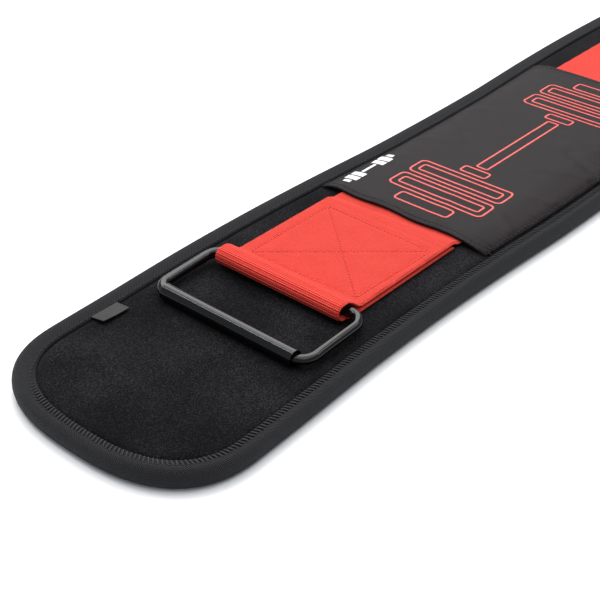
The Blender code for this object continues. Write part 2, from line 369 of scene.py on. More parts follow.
def grain(tree, scale, detail=2.0, roughness=0.5, stretch=None):
    """Noise on the object's own coordinates, as a value near one half."""
    place = tree.nodes.new("ShaderNodeTexCoord").outputs["Object"]
    if stretch:
        mapping = tree.nodes.new("ShaderNodeMapping")
        mapping.inputs["Scale"].default_value = stretch
        tree.links.new(place, mapping.inputs["Vector"])
        place = mapping.outputs["Vector"]
    node = tree.nodes.new("ShaderNodeTexNoise")
    node.inputs["Scale"].default_value = scale
    node.inputs["Detail"].default_value = detail
    node.inputs["Roughness"].default_value = roughness
    tree.links.new(place, node.inputs["Vector"])
    return node.outputs["Fac"]


def colours(tree, value, *stops):
    """A colour ramp: each stop is a place and a colour."""
    ramp = tree.nodes.new("ShaderNodeValToRGB")
    ramp.color_ramp.interpolation = "LINEAR"
    while len(ramp.color_ramp.elements) < len(stops):
        ramp.color_ramp.elements.new(0.5)
    for element, (place, colour) in zip(ramp.color_ramp.elements, stops):
        element.position = place
        element.color = (*colour, 1.0)
    tree.links.new(value, ramp.inputs["Fac"])
    return ramp.outputs["Color"]


def bump(tree, shader, height, distance, strength=1.0, under=None):
    node = tree.nodes.new("ShaderNodeBump")
    node.inputs["Distance"].default_value = distance
    node.inputs["Strength"].default_value = strength
    tree.links.new(height, node.inputs["Height"])
    if under:
        tree.links.new(under, node.inputs["Normal"])
    tree.links.new(node.outputs["Normal"], shader.inputs["Normal"])
    return node.outputs["Normal"]


# %% [markdown]
# ## Face cloth
# The outer cloth is a thin brushed knit glued to foam: nearly black, matt, with a faint fleck where
# single fibres catch the light. Two sizes of noise give the fleck and its slow change, and the bump comes
# from the same noise.

# %% Face cloth material
face_cloth, tree, shader = node_material("brushed_knit")
fleck = grain(tree, 1900.0, 3.0, 0.62)
slow = grain(tree, 34.0, 3.0, 0.55)
mixed = math_node(tree, "MULTIPLY_ADD", slow, 0.30)
tree.links.new(fleck, mixed.node.inputs[2])
colour = colours(
    tree,
    mixed,
    (0.50, (0.0012, 0.0012, 0.0014)),
    (0.66, (0.0052, 0.0049, 0.0057)),
    (0.84, (0.0280, 0.0265, 0.0290)),
)
tree.links.new(colour, shader.inputs["Base Color"])
shader.inputs["Roughness"].default_value = 0.95
shader.inputs["Specular IOR Level"].default_value = 0.07
shader.inputs["Sheen Weight"].default_value = 0.04
shader.inputs["Sheen Roughness"].default_value = 0.4
shader.inputs["Sheen Tint"].default_value = (0.75, 0.72, 0.78, 1.0)
bump(tree, shader, fleck, 0.00040, 0.9)

# %% [markdown]
# ## Padded band
# A foam pad under its face cloth, 8 mm thick. Along the seam the stitches pull the cloth down, so the
# face rises from the tape on a soft shoulder, and inside it waves a little where the foam gives. Rings of
# points run inwards from the rim until they meet on the middle line, which closes the skin without a
# single pole.

# %% Padded band
BAND_STATIONS = 720
band_walk, _ = rim_walk(BAND_STATIONS)
TONGUE_LOW = TAPE_THICKNESS + GAP
TONGUE_HIGH = BAND_THICKNESS - TAPE_THICKNESS - GAP
TONGUE_END = TAPE_THICKNESS + GAP + 0.0018
face_profile = (
    (0.0000, TONGUE_HIGH + 0.0001),
    (0.0004, 0.00735),
    (0.0011, 0.00770),
    (0.0024, 0.00798),
    (0.0044, 0.00812),
    (0.0080, 0.00819),
    (0.0130, BAND_THICKNESS),
)
INNER_RINGS = 14


def foam_wave(x, y):
    """How far the face gives where the foam is softer, in metres."""
    height = np.zeros(len(x))
    for k in range(len(x)):
        place = Vector((x[k] * 26.0, y[k] * 26.0, 0.7))
        height[k] = noise.noise(place) * 0.00013 + noise.noise(place * 3.1) * 0.00005
    return height


def inner_ring(inset, share):
    """A ring between the outline at an inset, share 1, and the middle line, share 0."""
    fixed, reach, across = band_walk
    x = fixed + reach * (END_DEPTH - inset) * share
    y = across * (BAND_WIDTH / 2 - inset) * share + middle_line(x)
    return x, y


band_rings = []
foot_inset = SHOULDER + 0.0005
for step in range(0, INNER_RINGS + 1, 2):
    x, y = inner_ring(foot_inset, step / INNER_RINGS)
    band_rings.append((x, y, np.zeros(BAND_STATIONS)))
for inset, z in (
    (SHOULDER, 0.0005),
    (SHOULDER, TONGUE_LOW),
    (TONGUE_END, TONGUE_LOW),
    (TONGUE_END, TONGUE_HIGH),
):
    x, y = rim_points(band_walk, inset)
    band_rings.append((x, y, np.full(BAND_STATIONS, z)))
for step, z in face_profile:
    x, y = rim_points(band_walk, SHOULDER + step)
    band_rings.append((x, y, z + foam_wave(x, y) * smooth_step(0.0, 0.010, step)))
face_inset = SHOULDER + face_profile[-1][0]
for step in range(1, INNER_RINGS + 1):
    x, y = inner_ring(face_inset, 1 - step / INNER_RINGS)
    band_rings.append((x, y, BAND_THICKNESS + foam_wave(x, y)))
band_points = np.stack([np.stack(ring, axis=1) for ring in band_rings], axis=0)
band_uv = np.concatenate([band_points, band_points[:, :1]], axis=1)[:, :, :2]
padded_band = grid_piece("padded_band", band_points, band_uv, wrap_columns=True)
padded_band.data.set_sharp_from_angle(angle=math.radians(55))
padded_band.data.materials.append(face_cloth)
lay(padded_band, "belt", "face_cloth", "belt_body")

# %% [markdown]
# ## Twill tape
# The rim is bound with a folded twill tape. Its weave runs as a herringbone: diagonal ribs that turn back
# every few millimetres. With the UV along the rim and across the tape, a folded coordinate turns the
# diagonal by itself.

# %% Twill tape material
HERRINGBONE_BAND = 0.0052
RIB_PITCH = 0.00105


def herringbone(name, dark, light, pitch, band, roughness):
    """Twill whose diagonal ribs turn back at every band, with painted shade between the ribs."""
    made, tree, shader = node_material(name)
    along, across = cloth_axes(tree)
    folded = math_node(tree, "PINGPONG", across, band)
    diagonal = math_node(tree, "ADD", along, folded)
    back = math_node(tree, "SUBTRACT", along, folded)
    rib = wave(tree, diagonal, pitch)
    float_mark = wave(tree, back, pitch * 0.62)
    height = math_node(tree, "MULTIPLY_ADD", float_mark, 0.35)
    tree.links.new(rib, height.node.inputs[2])
    fibre = grain(tree, 2400.0, 2.0, 0.6)
    # Fibre noise and weave height set the tone; its dark end in the low parts between the ribs is painted
    # shade.
    wear_and_weave_shade = math_node(tree, "MULTIPLY_ADD", fibre, 0.55)
    tree.links.new(height, wear_and_weave_shade.node.inputs[2])
    tone = math_node(tree, "MULTIPLY", wear_and_weave_shade, 0.55)
    colour = colours(tree, tone, (0.24, dark), (0.50, light), (0.85, light))
    tree.links.new(colour, shader.inputs["Base Color"])
    shader.inputs["Roughness"].default_value = roughness
    shader.inputs["Specular IOR Level"].default_value = 0.10
    shader.inputs["Sheen Weight"].default_value = 0.03
    shader.inputs["Sheen Roughness"].default_value = 0.35
    bump(tree, shader, height, 0.00045, 1.0)
    return made


twill_tape = herringbone(
    "twill_tape", (0.0007, 0.0007, 0.0008), (0.034, 0.034, 0.037), RIB_PITCH, HERRINGBONE_BAND, 0.62
)

# %% [markdown]
# ## Bound rim
# The tape is folded over the band's edge and sewn through. On the label's side it lies as one broad roll,
# and round the ends and along the other side it rolls tighter and leaves a flat channel beside the face.
# Two sections with as many points each are mixed by a weight that changes round the rim.

# %% Bound rim
TAPE_STATIONS = 1440
tape_walk, _ = rim_walk(TAPE_STATIONS)

# Inset and height in millimetres, from the tape's inner edge over the roll and under the band
TIGHT_SECTION = (
    (9.60, 7.02), (9.64, 7.35), (9.50, 7.62), (8.60, 7.72), (7.40, 7.74), (6.30, 7.72),
    (5.75, 7.74), (5.50, 7.95), (5.36, 8.45), (5.22, 8.95), (4.95, 9.30), (4.50, 9.58),
    (3.90, 9.80), (3.25, 9.90), (2.60, 9.82), (2.00, 9.55), (1.40, 9.10), (0.90, 8.50),
    (0.48, 7.75), (0.18, 6.85), (0.03, 5.90), (0.00, 4.95), (0.06, 4.00), (0.22, 3.05),
    (0.50, 2.15), (0.90, 1.40), (1.45, 0.75), (2.15, 0.28), (3.00, 0.03), (4.50, 0.00),
    (7.00, 0.00), (9.60, 0.00),
    (9.62, 0.60), (9.60, 1.20), (4.50, 1.20), (1.74, 1.74), (1.20, 4.10), (1.74, 6.46), (4.50, 7.00),
)
BROAD_SECTION = (
    (9.60, 7.02), (9.64, 7.35), (9.62, 7.60), (9.58, 7.80), (9.54, 8.00), (9.48, 8.18),
    (9.36, 8.34), (9.15, 8.46), (8.80, 8.56), (8.30, 8.70), (7.60, 8.92), (6.70, 9.22),
    (5.70, 9.50), (4.70, 9.72), (3.70, 9.84), (2.70, 9.74), (1.85, 9.40), (1.15, 8.80),
    (0.60, 7.95), (0.24, 6.95), (0.05, 5.95), (0.00, 4.95), (0.06, 4.00), (0.22, 3.05),
    (0.50, 2.15), (0.90, 1.40), (1.45, 0.75), (2.15, 0.28), (3.00, 0.03), (4.50, 0.00),
    (7.00, 0.00), (9.60, 0.00),
    (9.62, 0.60), (9.60, 1.20), (4.50, 1.20), (1.74, 1.74), (1.20, 4.10), (1.74, 6.46), (4.50, 7.00),
)


def tightness(across):
    """1 where the roll is tight, 0 along the label's side, by how far across the band a station is."""
    return smooth_step(0.97, 0.35, across)


tight = tightness(tape_walk[2])[:, None]
tight_rows = np.array(TIGHT_SECTION)[None] / 1000
broad_rows = np.array(BROAD_SECTION)[None] / 1000
section = tight_rows * tight[:, :, None] + broad_rows * (1 - tight[:, :, None])
rim_along = np.arange(TAPE_STATIONS) / TAPE_STATIONS * RIM_LENGTH
draw = np.sin(rim_along * math.tau / 0.0026)[:, None] * 0.00006
ridge_weight = np.exp(-(((np.arange(section.shape[1]) - 9.5) / 2.2) ** 2))[None]
insets = section[:, :, 0] + draw * ridge_weight
heights = section[:, :, 1]
tape_xy = [rim_points(tape_walk, insets[:, k]) for k in range(section.shape[1])]
tape_points = np.stack([np.stack((x, y, heights[:, k]), axis=1) for k, (x, y) in enumerate(tape_xy)], axis=1)
steps = np.linalg.norm(np.diff(section, axis=1, append=section[:, :1]), axis=2)
across_tape = np.concatenate([np.zeros((TAPE_STATIONS, 1)), np.cumsum(steps, axis=1)], axis=1)
across_tape = np.concatenate([across_tape, across_tape[:1]], axis=0)
along_rim = np.arange(TAPE_STATIONS + 1) / TAPE_STATIONS * RIM_LENGTH
along_tape = np.repeat(along_rim[:, None], across_tape.shape[1], 1)
tape_uv = np.stack([along_tape, across_tape], axis=2)
rim_tape = grid_piece("rim_tape", tape_points, tape_uv, wrap_rows=True, wrap_columns=True)
rim_tape.data.set_sharp_from_angle(angle=math.radians(50))
rim_tape.data.materials.append(twill_tape)
lay(rim_tape, "belt", "binding_tape", "edge_binding")

# %% [markdown]
# ## Strap
# One length of webbing: its turned-back end lies underneath, it wraps the ring's far bar, runs back over
# itself and under the cover, and leaves over the far end as the tail. The skin follows that path in side
# view, closer spaced where it bends or is sewn, with ribs standing proud where the fold stretches the
# outer face.

# %% The strap's path
BAR_X = 0.1372 - HALF_BAND
TURNED_END = PANEL_START - 0.0090
LOWER = STRAP_LEVEL + WEBBING / 2
BAR_Z = LOWER + (WIRE + 0.0017 + WEBBING) / 2
FOLD_RADIUS = 0.00365
FOLD_X = BAR_X - 0.0034
FOLD_Z = BAR_Z + 0.0009
UPPER = LOWER + WEBBING + GAP
TAIL_TIP = HALF_BAND + 0.300


def s_curve(start, end, steps):
    """Points after start on a smooth S curve to end."""
    share = np.arange(1, steps + 1) / steps
    rise = (1 - np.cos(math.pi * share)) / 2
    return np.stack([start[0] + (end[0] - start[0]) * share, start[1] + (end[1] - start[1]) * rise], axis=1)


def strap_line():
    """The webbing's middle line in side view, from its turned-back end to the tail's tip."""
    angle = np.linspace(0, math.pi, 61)
    fold = np.stack([FOLD_X - FOLD_RADIUS * np.sin(angle), FOLD_Z - FOLD_RADIUS * np.cos(angle)], axis=1)
    under = (BAR_X + 0.0020, LOWER)
    neck = (BAR_X - 0.0010, FOLD_Z + FOLD_RADIUS)
    bow = END_DEPTH * (1 - (1 - (STRAP_WIDTH / BAND_WIDTH) ** END_SQUARENESS) ** (1 / END_SQUARENESS))
    roll_start = HALF_BAND - bow - 0.0054 - GAP
    crest = LOWER + 0.0017
    parts = [
        [(TURNED_END, LOWER)],
        [under],
        s_curve(under, (FOLD_X, FOLD_Z - FOLD_RADIUS), 12)[:-1],
        fold,
        [neck],
        s_curve(neck, (BAR_X + 0.0105, UPPER), 24),
        [(TURNED_END + GAP, UPPER)],
        s_curve((TURNED_END + GAP, UPPER), (TURNED_END + 0.0065, LOWER), 14),
        [(roll_start - 0.006, LOWER)],
        s_curve((roll_start - 0.006, LOWER), (roll_start, crest), 14),
        [(HALF_BAND - GAP, crest)],
        s_curve((HALF_BAND - GAP, crest), (HALF_BAND + 0.030, WEBBING / 2), 24),
        [(TAIL_TIP, WEBBING / 2)],
    ]
    line = np.concatenate([np.array(part, float) for part in parts])
    length = np.concatenate([[0.0], np.cumsum(np.linalg.norm(np.diff(line, axis=0), axis=1))])
    return line, length


path_line, path_length = strap_line()
STRAP_LENGTH = path_length[-1]


def place_of(x, z):
    """Length along the path at the point nearest to a place in side view."""
    return float(path_length[np.argmin(np.hypot(path_line[:, 0] - x, path_line[:, 1] - z))])


FOLD_START = place_of(FOLD_X, FOLD_Z - FOLD_RADIUS)
FOLD_END = place_of(FOLD_X, FOLD_Z + FOLD_RADIUS)
OVER_START = place_of(BAR_X + 0.0105, UPPER)
OVER_END = OVER_START + PANEL_START - (BAR_X + 0.0105) + 0.002
print("strap length, mm:", round(1000 * STRAP_LENGTH, 1))

# Length along the path, and the row spacing from there on
ROW_SPACING = (
    (0.0, 0.0022),
    (FOLD_START - 0.004, 0.00022),
    (FOLD_END + 0.003, 0.00060),
    (OVER_END, 0.0030),
    (OVER_END + 0.190, 0.0016),
    (STRAP_LENGTH, 0.0016),
)
row_places = [0.0]
for (start, spacing), (stop, _) in zip(ROW_SPACING, ROW_SPACING[1:]):
    count = max(1, round((stop - start) / spacing))
    row_places += list(np.linspace(start, stop, count + 1)[1:])
row_places = np.array(row_places)


def on_strap(place):
    """Middle line point, and the outward normal, at lengths along the path."""
    place = np.asarray(place, float)
    x = np.interp(place, path_length, path_line[:, 0])
    z = np.interp(place, path_length, path_line[:, 1])
    reach = 0.0004
    ahead = np.clip(place + reach, 0, STRAP_LENGTH)
    behind = np.clip(place - reach, 0, STRAP_LENGTH)
    run_x = np.interp(ahead, path_length, path_line[:, 0]) - np.interp(behind, path_length, path_line[:, 0])
    run_z = np.interp(ahead, path_length, path_line[:, 1]) - np.interp(behind, path_length, path_line[:, 1])
    size = np.hypot(run_x, run_z)
    return x, z, -run_z / size, run_x / size


# %% [markdown]
# ## Webbing
# The strap is soft ribbed webbing: fine cross ribs with small floats that step from rib to rib. At arm's
# length that reads as a grain of tiny slanted marks. The red is painted brighter on the ribs and deeper in
# the pits between, as painted shade of the weave.

# %% Webbing material
red_webbing, tree, shader = node_material("red_webbing")
run, cross = cloth_axes(tree)
WEFT_PITCH = 0.00090
stagger = math_node(tree, "MULTIPLY", cross, 0.55)
from_fold = math_node(tree, "ABSOLUTE", math_node(tree, "SUBTRACT", run, (FOLD_START + FOLD_END) / 2))
on_flat = math_node(tree, "GREATER_THAN", from_fold, (FOLD_END - FOLD_START) / 2 + 0.002)
slanted = math_node(tree, "ADD", run, math_node(tree, "MULTIPLY", stagger, on_flat))
weft = wave(tree, slanted, WEFT_PITCH)
warp = wave(tree, cross, 0.00115)
weave_height = math_node(tree, "MULTIPLY_ADD", warp, 0.6)
tree.links.new(weft, weave_height.node.inputs[2])
fuzz = grain(tree, 1500.0, 2.0, 0.6)
weave_mix = math_node(tree, "MULTIPLY_ADD", fuzz, 0.7)
tree.links.new(weave_height, weave_mix.node.inputs[2])
blotch = grain(tree, 90.0, 2.0, 0.5)
weave_tone = math_node(tree, "MULTIPLY_ADD", blotch, 0.35)
tree.links.new(weave_mix, weave_tone.node.inputs[2])
# The ramp's deep red in the weave's low pits is painted shade; the slow blotch noise is random tone.
colour = colours(
    tree,
    math_node(tree, "MULTIPLY", weave_tone, 0.45),
    (0.14, (0.34, 0.008, 0.007)),
    (0.42, (0.68, 0.032, 0.022)),
    (0.80, (0.86, 0.088, 0.062)),
)
tree.links.new(colour, shader.inputs["Base Color"])
shader.inputs["Roughness"].default_value = 0.8
shader.inputs["Specular IOR Level"].default_value = 0.15
shader.inputs["Sheen Weight"].default_value = 0.12
shader.inputs["Sheen Roughness"].default_value = 0.4
shader.inputs["Sheen Tint"].default_value = (1.0, 0.45, 0.4, 1.0)
bump(tree, shader, weave_height, 0.00035, 1.0)

# %% Box and cross, sewn through both layers
NEAR_LEFT = (PANEL_START - 0.0762, 0.0310)
NEAR_RIGHT = (PANEL_START - 0.0735, -0.0322)
FAR_LEFT = (PANEL_START - 0.0180, 0.0312)
FAR_RIGHT = (PANEL_START - 0.0192, -0.0340)
BOX_LINES = (
    (NEAR_LEFT, NEAR_RIGHT),
    (FAR_LEFT, FAR_RIGHT),
    (NEAR_RIGHT, FAR_RIGHT),
    (NEAR_LEFT, FAR_LEFT),
    (NEAR_RIGHT, FAR_LEFT),
    (NEAR_LEFT, FAR_RIGHT),
)


def upper_lift(x, y):
    """How far the upper layer lies above the lower layer's level, beyond the neck."""
    turned = TURNED_END - 0.0028 * y / STRAP_HALF
    return (UPPER - LOWER) * (1 - smooth_step(turned, turned + 0.0062, x))


def near_line(x, y, start, end):
    """Distance from places to a straight line between two points."""
    ax, ay = start
    bx, by = end
    run_x, run_y = bx - ax, by - ay
    share = ((x - ax) * run_x + (y - ay) * run_y) / (run_x**2 + run_y**2)
    share = np.clip(share, 0.0, 1.0)
    return np.hypot(x - ax - share * run_x, y - ay - share * run_y)


def strap_relief(place, y):
    """How far the strap's outer face stands off its plain thickness."""
    x, _, _, _ = on_strap(place)
    in_fold = smooth_step(FOLD_START - 0.003, FOLD_START + 0.002, place)
    in_fold = in_fold * (1 - smooth_step(FOLD_END - 0.004, FOLD_END + 0.003, place))
    ribs = np.sin((place - FOLD_START) * math.tau / 0.00155) * 0.00016 * in_fold
    past_neck = smooth_step(OVER_START - 0.006, OVER_START, place)
    over = past_neck * (1 - smooth_step(OVER_END, OVER_END + 0.002, place))
    pulled = np.zeros_like(x + y)
    for start, end in BOX_LINES:
        pulled = np.maximum(pulled, np.exp(-((near_line(x, y, start, end) / 0.0011) ** 2)))
    to_edge = smooth_step(0.020, STRAP_HALF, np.abs(y))
    waves = np.sin(x * math.tau / 0.019 + 1.3 * np.sin(y * 60)) * to_edge * 0.00010
    by_panel = np.exp(-((x - PANEL_START + 0.011) / 0.006) ** 2)
    ripple = np.sin((x - PANEL_START) * math.tau / 0.0042) * by_panel
    return ribs + over * (0.00022 - pulled * 0.00036 + waves + ripple * 0.00010)


# %% The strap's skin
half_columns = np.concatenate([np.linspace(-STRAP_HALF + 0.0005, STRAP_HALF - 0.0005, 101)])
rows_2d, columns_2d = np.meshgrid(row_places, half_columns, indexing="ij")
outer = WEBBING / 2 - 0.00022 + strap_relief(rows_2d, columns_2d)
selvedge = np.sin(row_places * math.tau / 0.0014) * 0.00012
edge_out = STRAP_HALF + selvedge[:, None]
under_columns = np.linspace(STRAP_HALF - 0.0005, -STRAP_HALF + 0.0005, 26)
centre_x, centre_z, normal_x, normal_z = (part[:, None] for part in on_strap(row_places))
bead = WEBBING / 2 * 0.9


def strap_column(y, height):
    y = np.broadcast_to(y, (len(row_places), 1))
    height = np.broadcast_to(height, (len(row_places), 1))
    return np.concatenate([centre_x + normal_x * height, y, centre_z + normal_z * height], axis=1)[:, None]


columns = [strap_column(y, outer[:, k : k + 1]) for k, y in enumerate(half_columns)]
columns += [strap_column(edge_out, bead * 0.55), strap_column(edge_out, -bead * 0.55)]
columns += [strap_column(y, -WEBBING / 2 + 0.0001) for y in under_columns]
columns += [strap_column(-edge_out, -bead * 0.55), strap_column(-edge_out, bead * 0.55)]
strap_points = np.concatenate(columns, axis=1)
strap_y = strap_points[:, :, 1]
row_place = np.broadcast_to(row_places[:, None], strap_y.shape)
on_back = (row_place >= OVER_START) & (centre_x < PANEL_START + 0.004)
lift = upper_lift(np.broadcast_to(centre_x, strap_y.shape), strap_y) - (centre_z - LOWER)
strap_points[:, :, 2] += np.where(on_back, lift, 0.0)
slant = -0.0028 * strap_y / STRAP_HALF * np.clip(1 - row_place / 0.030, 0.0, 1.0)
strap_points[:, :, 0] += slant
strap_points[:, :, 1] -= 0.0005 * (1 - smooth_step(FOLD_START - 0.012, FOLD_END, row_place))
strap_across = np.concatenate(
    [
        half_columns,
        [STRAP_HALF, STRAP_HALF + WEBBING],
        STRAP_WIDTH + WEBBING - under_columns,
        [
            STRAP_WIDTH * 1.5 + WEBBING,
            STRAP_WIDTH * 1.5 + 2 * WEBBING,
            STRAP_WIDTH * 1.5 + 2 * WEBBING + 0.0005,
        ],
    ]
)
strap_uv = np.stack(np.meshgrid(row_places, strap_across, indexing="ij"), axis=2)
webbing_strap = grid_piece("webbing_strap", strap_points, strap_uv, wrap_columns=True, cap=True)
webbing_strap.data.set_sharp_from_angle(angle=math.radians(50))
webbing_strap.data.materials.append(red_webbing)
lay(webbing_strap, "belt", "red_webbing", "main_strap")

# %% [markdown]
# ## Thread
# Every seam on the belt is a lockstitch: short raised lengths of thread with a pinhole between them where
# the needle went down. Geometry Nodes lay one stitch at each step of a seam line, turned along it, so a
# seam is only a list of points and a pitch. A point's radius says how wide the stitch is there.

# %% A node tree that sews along a line
def thread_material(name, colour, roughness):
    """Twisted thread: a wave over fine noise gives the twist."""
    made, tree, shader = node_material(name)
    twist = wave(tree, grain(tree, 900.0, 1.0, 0.5), 0.25)
    tone = colours(tree, twist, (0.0, tuple(c * 0.55 for c in colour)), (1.0, colour))
    tree.links.new(tone, shader.inputs["Base Color"])
    shader.inputs["Roughness"].default_value = roughness
    shader.inputs["Specular IOR Level"].default_value = 0.2
    shader.inputs["Sheen Weight"].default_value = 0.05
    bump(tree, shader, twist, 0.00005, 0.6)
    return made


black_thread = thread_material("black_thread", (0.030, 0.030, 0.032), 0.6)
red_thread = thread_material("red_thread", (0.90, 0.070, 0.045), 0.6)
# Needle holes: small dark red discs laid on the webbing, their colour painted shade of the pits.
needle_hole_shade, tree, shader = node_material("needle_hole_shade")
tree.links.new(
    colours(tree, grain(tree, 2500.0), (0.3, (0.16, 0.006, 0.005)), (0.7, (0.30, 0.012, 0.009))),
    shader.inputs["Base Color"],
)
shader.inputs["Roughness"].default_value = 0.95


def tube_mesh(name, line, radii, sides=6):
    """A short closed tube through a few points, for shapes that are laid many times."""
    mesh = bmesh.new()
    rings = []
    for k, (point, radius) in enumerate(zip(line, radii)):
        ahead = Vector(line[min(k + 1, len(line) - 1)]) - Vector(line[max(k - 1, 0)])
        turn = ahead.to_track_quat("Z", "Y").to_matrix()
        ring = []
        for side in range(sides):
            angle = math.tau * side / sides
            place = Vector((math.cos(angle) * radius, math.sin(angle) * radius, 0.0))
            ring.append(mesh.verts.new(Vector(point) + turn @ place))
        rings.append(ring)
    for first, second in zip(rings, rings[1:]):
        for side in range(sides):
            after = (side + 1) % sides
            mesh.faces.new((first[side], first[after], second[after], second[side]))
    mesh.faces.new(rings[0])
    mesh.faces.new(rings[-1])
    bmesh.ops.recalc_face_normals(mesh, faces=mesh.faces)
    for face in mesh.faces:
        face.smooth = True
    data = bpy.data.meshes.new(name)
    mesh.to_mesh(data)
    mesh.free()
    made = new_piece(name, data)
    made.hide_render = True
    made.hide_viewport = True
    return made


def sewing_tree():
    """Lays a shape along a line at a pitch, turned along it and kept upright."""
    tree = bpy.data.node_groups.new("sewing", "GeometryNodeTree")
    face = tree.interface
    face.new_socket("Geometry", in_out="INPUT", socket_type="NodeSocketGeometry")
    face.new_socket("Pitch", in_out="INPUT", socket_type="NodeSocketFloat")
    face.new_socket("Shape", in_out="INPUT", socket_type="NodeSocketObject")
    face.new_socket("Lean", in_out="INPUT", socket_type="NodeSocketFloat")
    face.new_socket("Unevenness", in_out="INPUT", socket_type="NodeSocketFloat")
    face.new_socket("Seed", in_out="INPUT", socket_type="NodeSocketInt")
    face.new_socket("Finish", in_out="INPUT", socket_type="NodeSocketMaterial")
    face.new_socket("Geometry", in_out="OUTPUT", socket_type="NodeSocketGeometry")
    nodes, links = tree.nodes, tree.links
    given = nodes.new("NodeGroupInput")
    result = nodes.new("NodeGroupOutput")
    curve = nodes.new("GeometryNodeMeshToCurve")
    links.new(given.outputs["Geometry"], curve.inputs["Mesh"])
    spaced = nodes.new("GeometryNodeResampleCurve")
    spaced.mode = "LENGTH"
    links.new(curve.outputs["Curve"], spaced.inputs["Curve"])
    links.new(given.outputs["Pitch"], spaced.inputs["Length"])
    points = nodes.new("GeometryNodeInstanceOnPoints")
    links.new(spaced.outputs["Curve"], points.inputs["Points"])
    shape = nodes.new("GeometryNodeObjectInfo")
    links.new(given.outputs["Shape"], shape.inputs["Object"])
    links.new(shape.outputs["Geometry"], points.inputs["Instance"])
    tangent = nodes.new("GeometryNodeInputTangent")
    along = nodes.new("FunctionNodeAxesToRotation")
    along.primary_axis = "X"
    along.secondary_axis = "Z"
    links.new(tangent.outputs["Tangent"], along.inputs["Primary Axis"])
    upright = nodes.new("GeometryNodeInputNamedAttribute")
    upright.data_type = "FLOAT_VECTOR"
    upright.inputs["Name"].default_value = "upright"
    links.new(upright.outputs["Attribute"], along.inputs["Secondary Axis"])
    jitter = nodes.new("FunctionNodeRandomValue")
    jitter.data_type = "FLOAT"
    links.new(given.outputs["Seed"], jitter.inputs["Seed"])
    swing = nodes.new("ShaderNodeMath")
    swing.operation = "MULTIPLY_ADD"
    centred = nodes.new("ShaderNodeMath")
    centred.operation = "SUBTRACT"
    centred.inputs[1].default_value = 0.5
    links.new(jitter.outputs[1], centred.inputs[0])
    links.new(centred.outputs[0], swing.inputs[0])
    links.new(given.outputs["Unevenness"], swing.inputs[1])
    links.new(given.outputs["Lean"], swing.inputs[2])
    lean = nodes.new("ShaderNodeCombineXYZ")
    links.new(swing.outputs[0], lean.inputs["Z"])
    leaned = nodes.new("FunctionNodeEulerToRotation")
    links.new(lean.outputs["Vector"], leaned.inputs["Euler"])
    turned = nodes.new("FunctionNodeRotateRotation")
    turned.rotation_space = "LOCAL"
    links.new(along.outputs["Rotation"], turned.inputs["Rotation"])
    links.new(leaned.outputs["Rotation"], turned.inputs["Rotate By"])
    links.new(turned.outputs["Rotation"], points.inputs["Rotation"])
    width = nodes.new("GeometryNodeInputNamedAttribute")
    width.data_type = "FLOAT"
    width.inputs["Name"].default_value = "width"
    size = nodes.new("ShaderNodeCombineXYZ")
    size.inputs["X"].default_value = 1.0
    size.inputs["Z"].default_value = 1.0
    links.new(width.outputs["Attribute"], size.inputs["Y"])
    links.new(size.outputs["Vector"], points.inputs["Scale"])
    real = nodes.new("GeometryNodeRealizeInstances")
    links.new(points.outputs["Instances"], real.inputs["Geometry"])
    finish = nodes.new("GeometryNodeSetMaterial")
    links.new(real.outputs["Geometry"], finish.inputs["Geometry"])
    links.new(given.outputs["Finish"], finish.inputs["Material"])
    links.new(finish.outputs["Geometry"], result.inputs["Geometry"])
    return tree


SEWING = sewing_tree()


def sewn(name, lines, pitch, shape, finish, lean=0.0, unevenness=0.15, seed=1):
    """Sews along lines of (point, up, width) about the middle of the back and returns one plain mesh."""
    places, ups, widths, edges = [], [], [], []
    for line in lines:
        edges += [(len(places) + k, len(places) + k + 1) for k in range(len(line) - 1)]
        for place, up, width in line:
            places.append(Vector(place) + BACK)
            ups.append(tuple(up))
            widths.append(width)
    data = bpy.data.meshes.new(name + "_line")
    data.from_pydata(places, edges, [])
    upright = data.attributes.new("upright", "FLOAT_VECTOR", "POINT")
    upright.data.foreach_set("vector", np.array(ups, np.float32).ravel())
    across = data.attributes.new("width", "FLOAT", "POINT")
    across.data.foreach_set("value", np.array(widths, np.float32))
    guide = new_piece(name + "_line", data)
    sewing = guide.modifiers.new("Sewing", "NODES")
    sewing.node_group = SEWING
    inputs = {item.name: item.identifier for item in SEWING.interface.items_tree if item.in_out == "INPUT"}
    sewing[inputs["Pitch"]] = pitch
    sewing[inputs["Shape"]] = shape
    sewing[inputs["Lean"]] = lean
    sewing[inputs["Unevenness"]] = unevenness
    sewing[inputs["Seed"]] = seed
    sewing[inputs["Finish"]] = finish
    guide.update_tag()
    graph = bpy.context.evaluated_depsgraph_get()
    made = bpy.data.meshes.new_from_object(guide.evaluated_get(graph), depsgraph=graph)
    made.name = name
    bpy.data.objects.remove(guide)
    for polygon in made.polygons:
        polygon.use_smooth = True
    return new_piece(name, made)


STITCH = tube_mesh(
    "stitch_shape",
    [
        (-0.00105, 0, -0.00022),
        (-0.0008, 0, 0.0),
        (-0.0003, 0, 0.00013),
        (0.0003, 0, 0.00013),
        (0.0008, 0, 0.0),
        (0.00105, 0, -0.00022),
    ],
    [0.00012, 0.00019, 0.00021, 0.00021, 0.00019, 0.00012],
)
TOOTH = tube_mesh(
    "tooth_shape",
    [(0.0, -0.0021, -0.00030), (0.0, -0.0017, 0.00010), (0.0, -0.0008, 0.00026), (0.0, 0.0008, 0.00022),
     (0.0, 0.0016, 0.00010), (0.0, 0.0020, -0.00030)],
    [0.00022, 0.00036, 0.00040, 0.00038, 0.00034, 0.00022],
)
HOLE_SHADE = tube_mesh(
    "hole_shape",
    [(0, 0, -0.00045), (0, 0, -0.0001), (0, 0, 0.00006)],
    [0.0001, 0.0003, 0.00050],
    7,
)
BEAD = tube_mesh(
    "bead_shape",
    [(-0.00075, 0, -0.00012), (-0.0003, 0, 0.0001), (0.0003, 0, 0.0001), (0.00075, 0, -0.00012)],
    [0.00020, 0.00042, 0.00042, 0.00020],
    6,
)

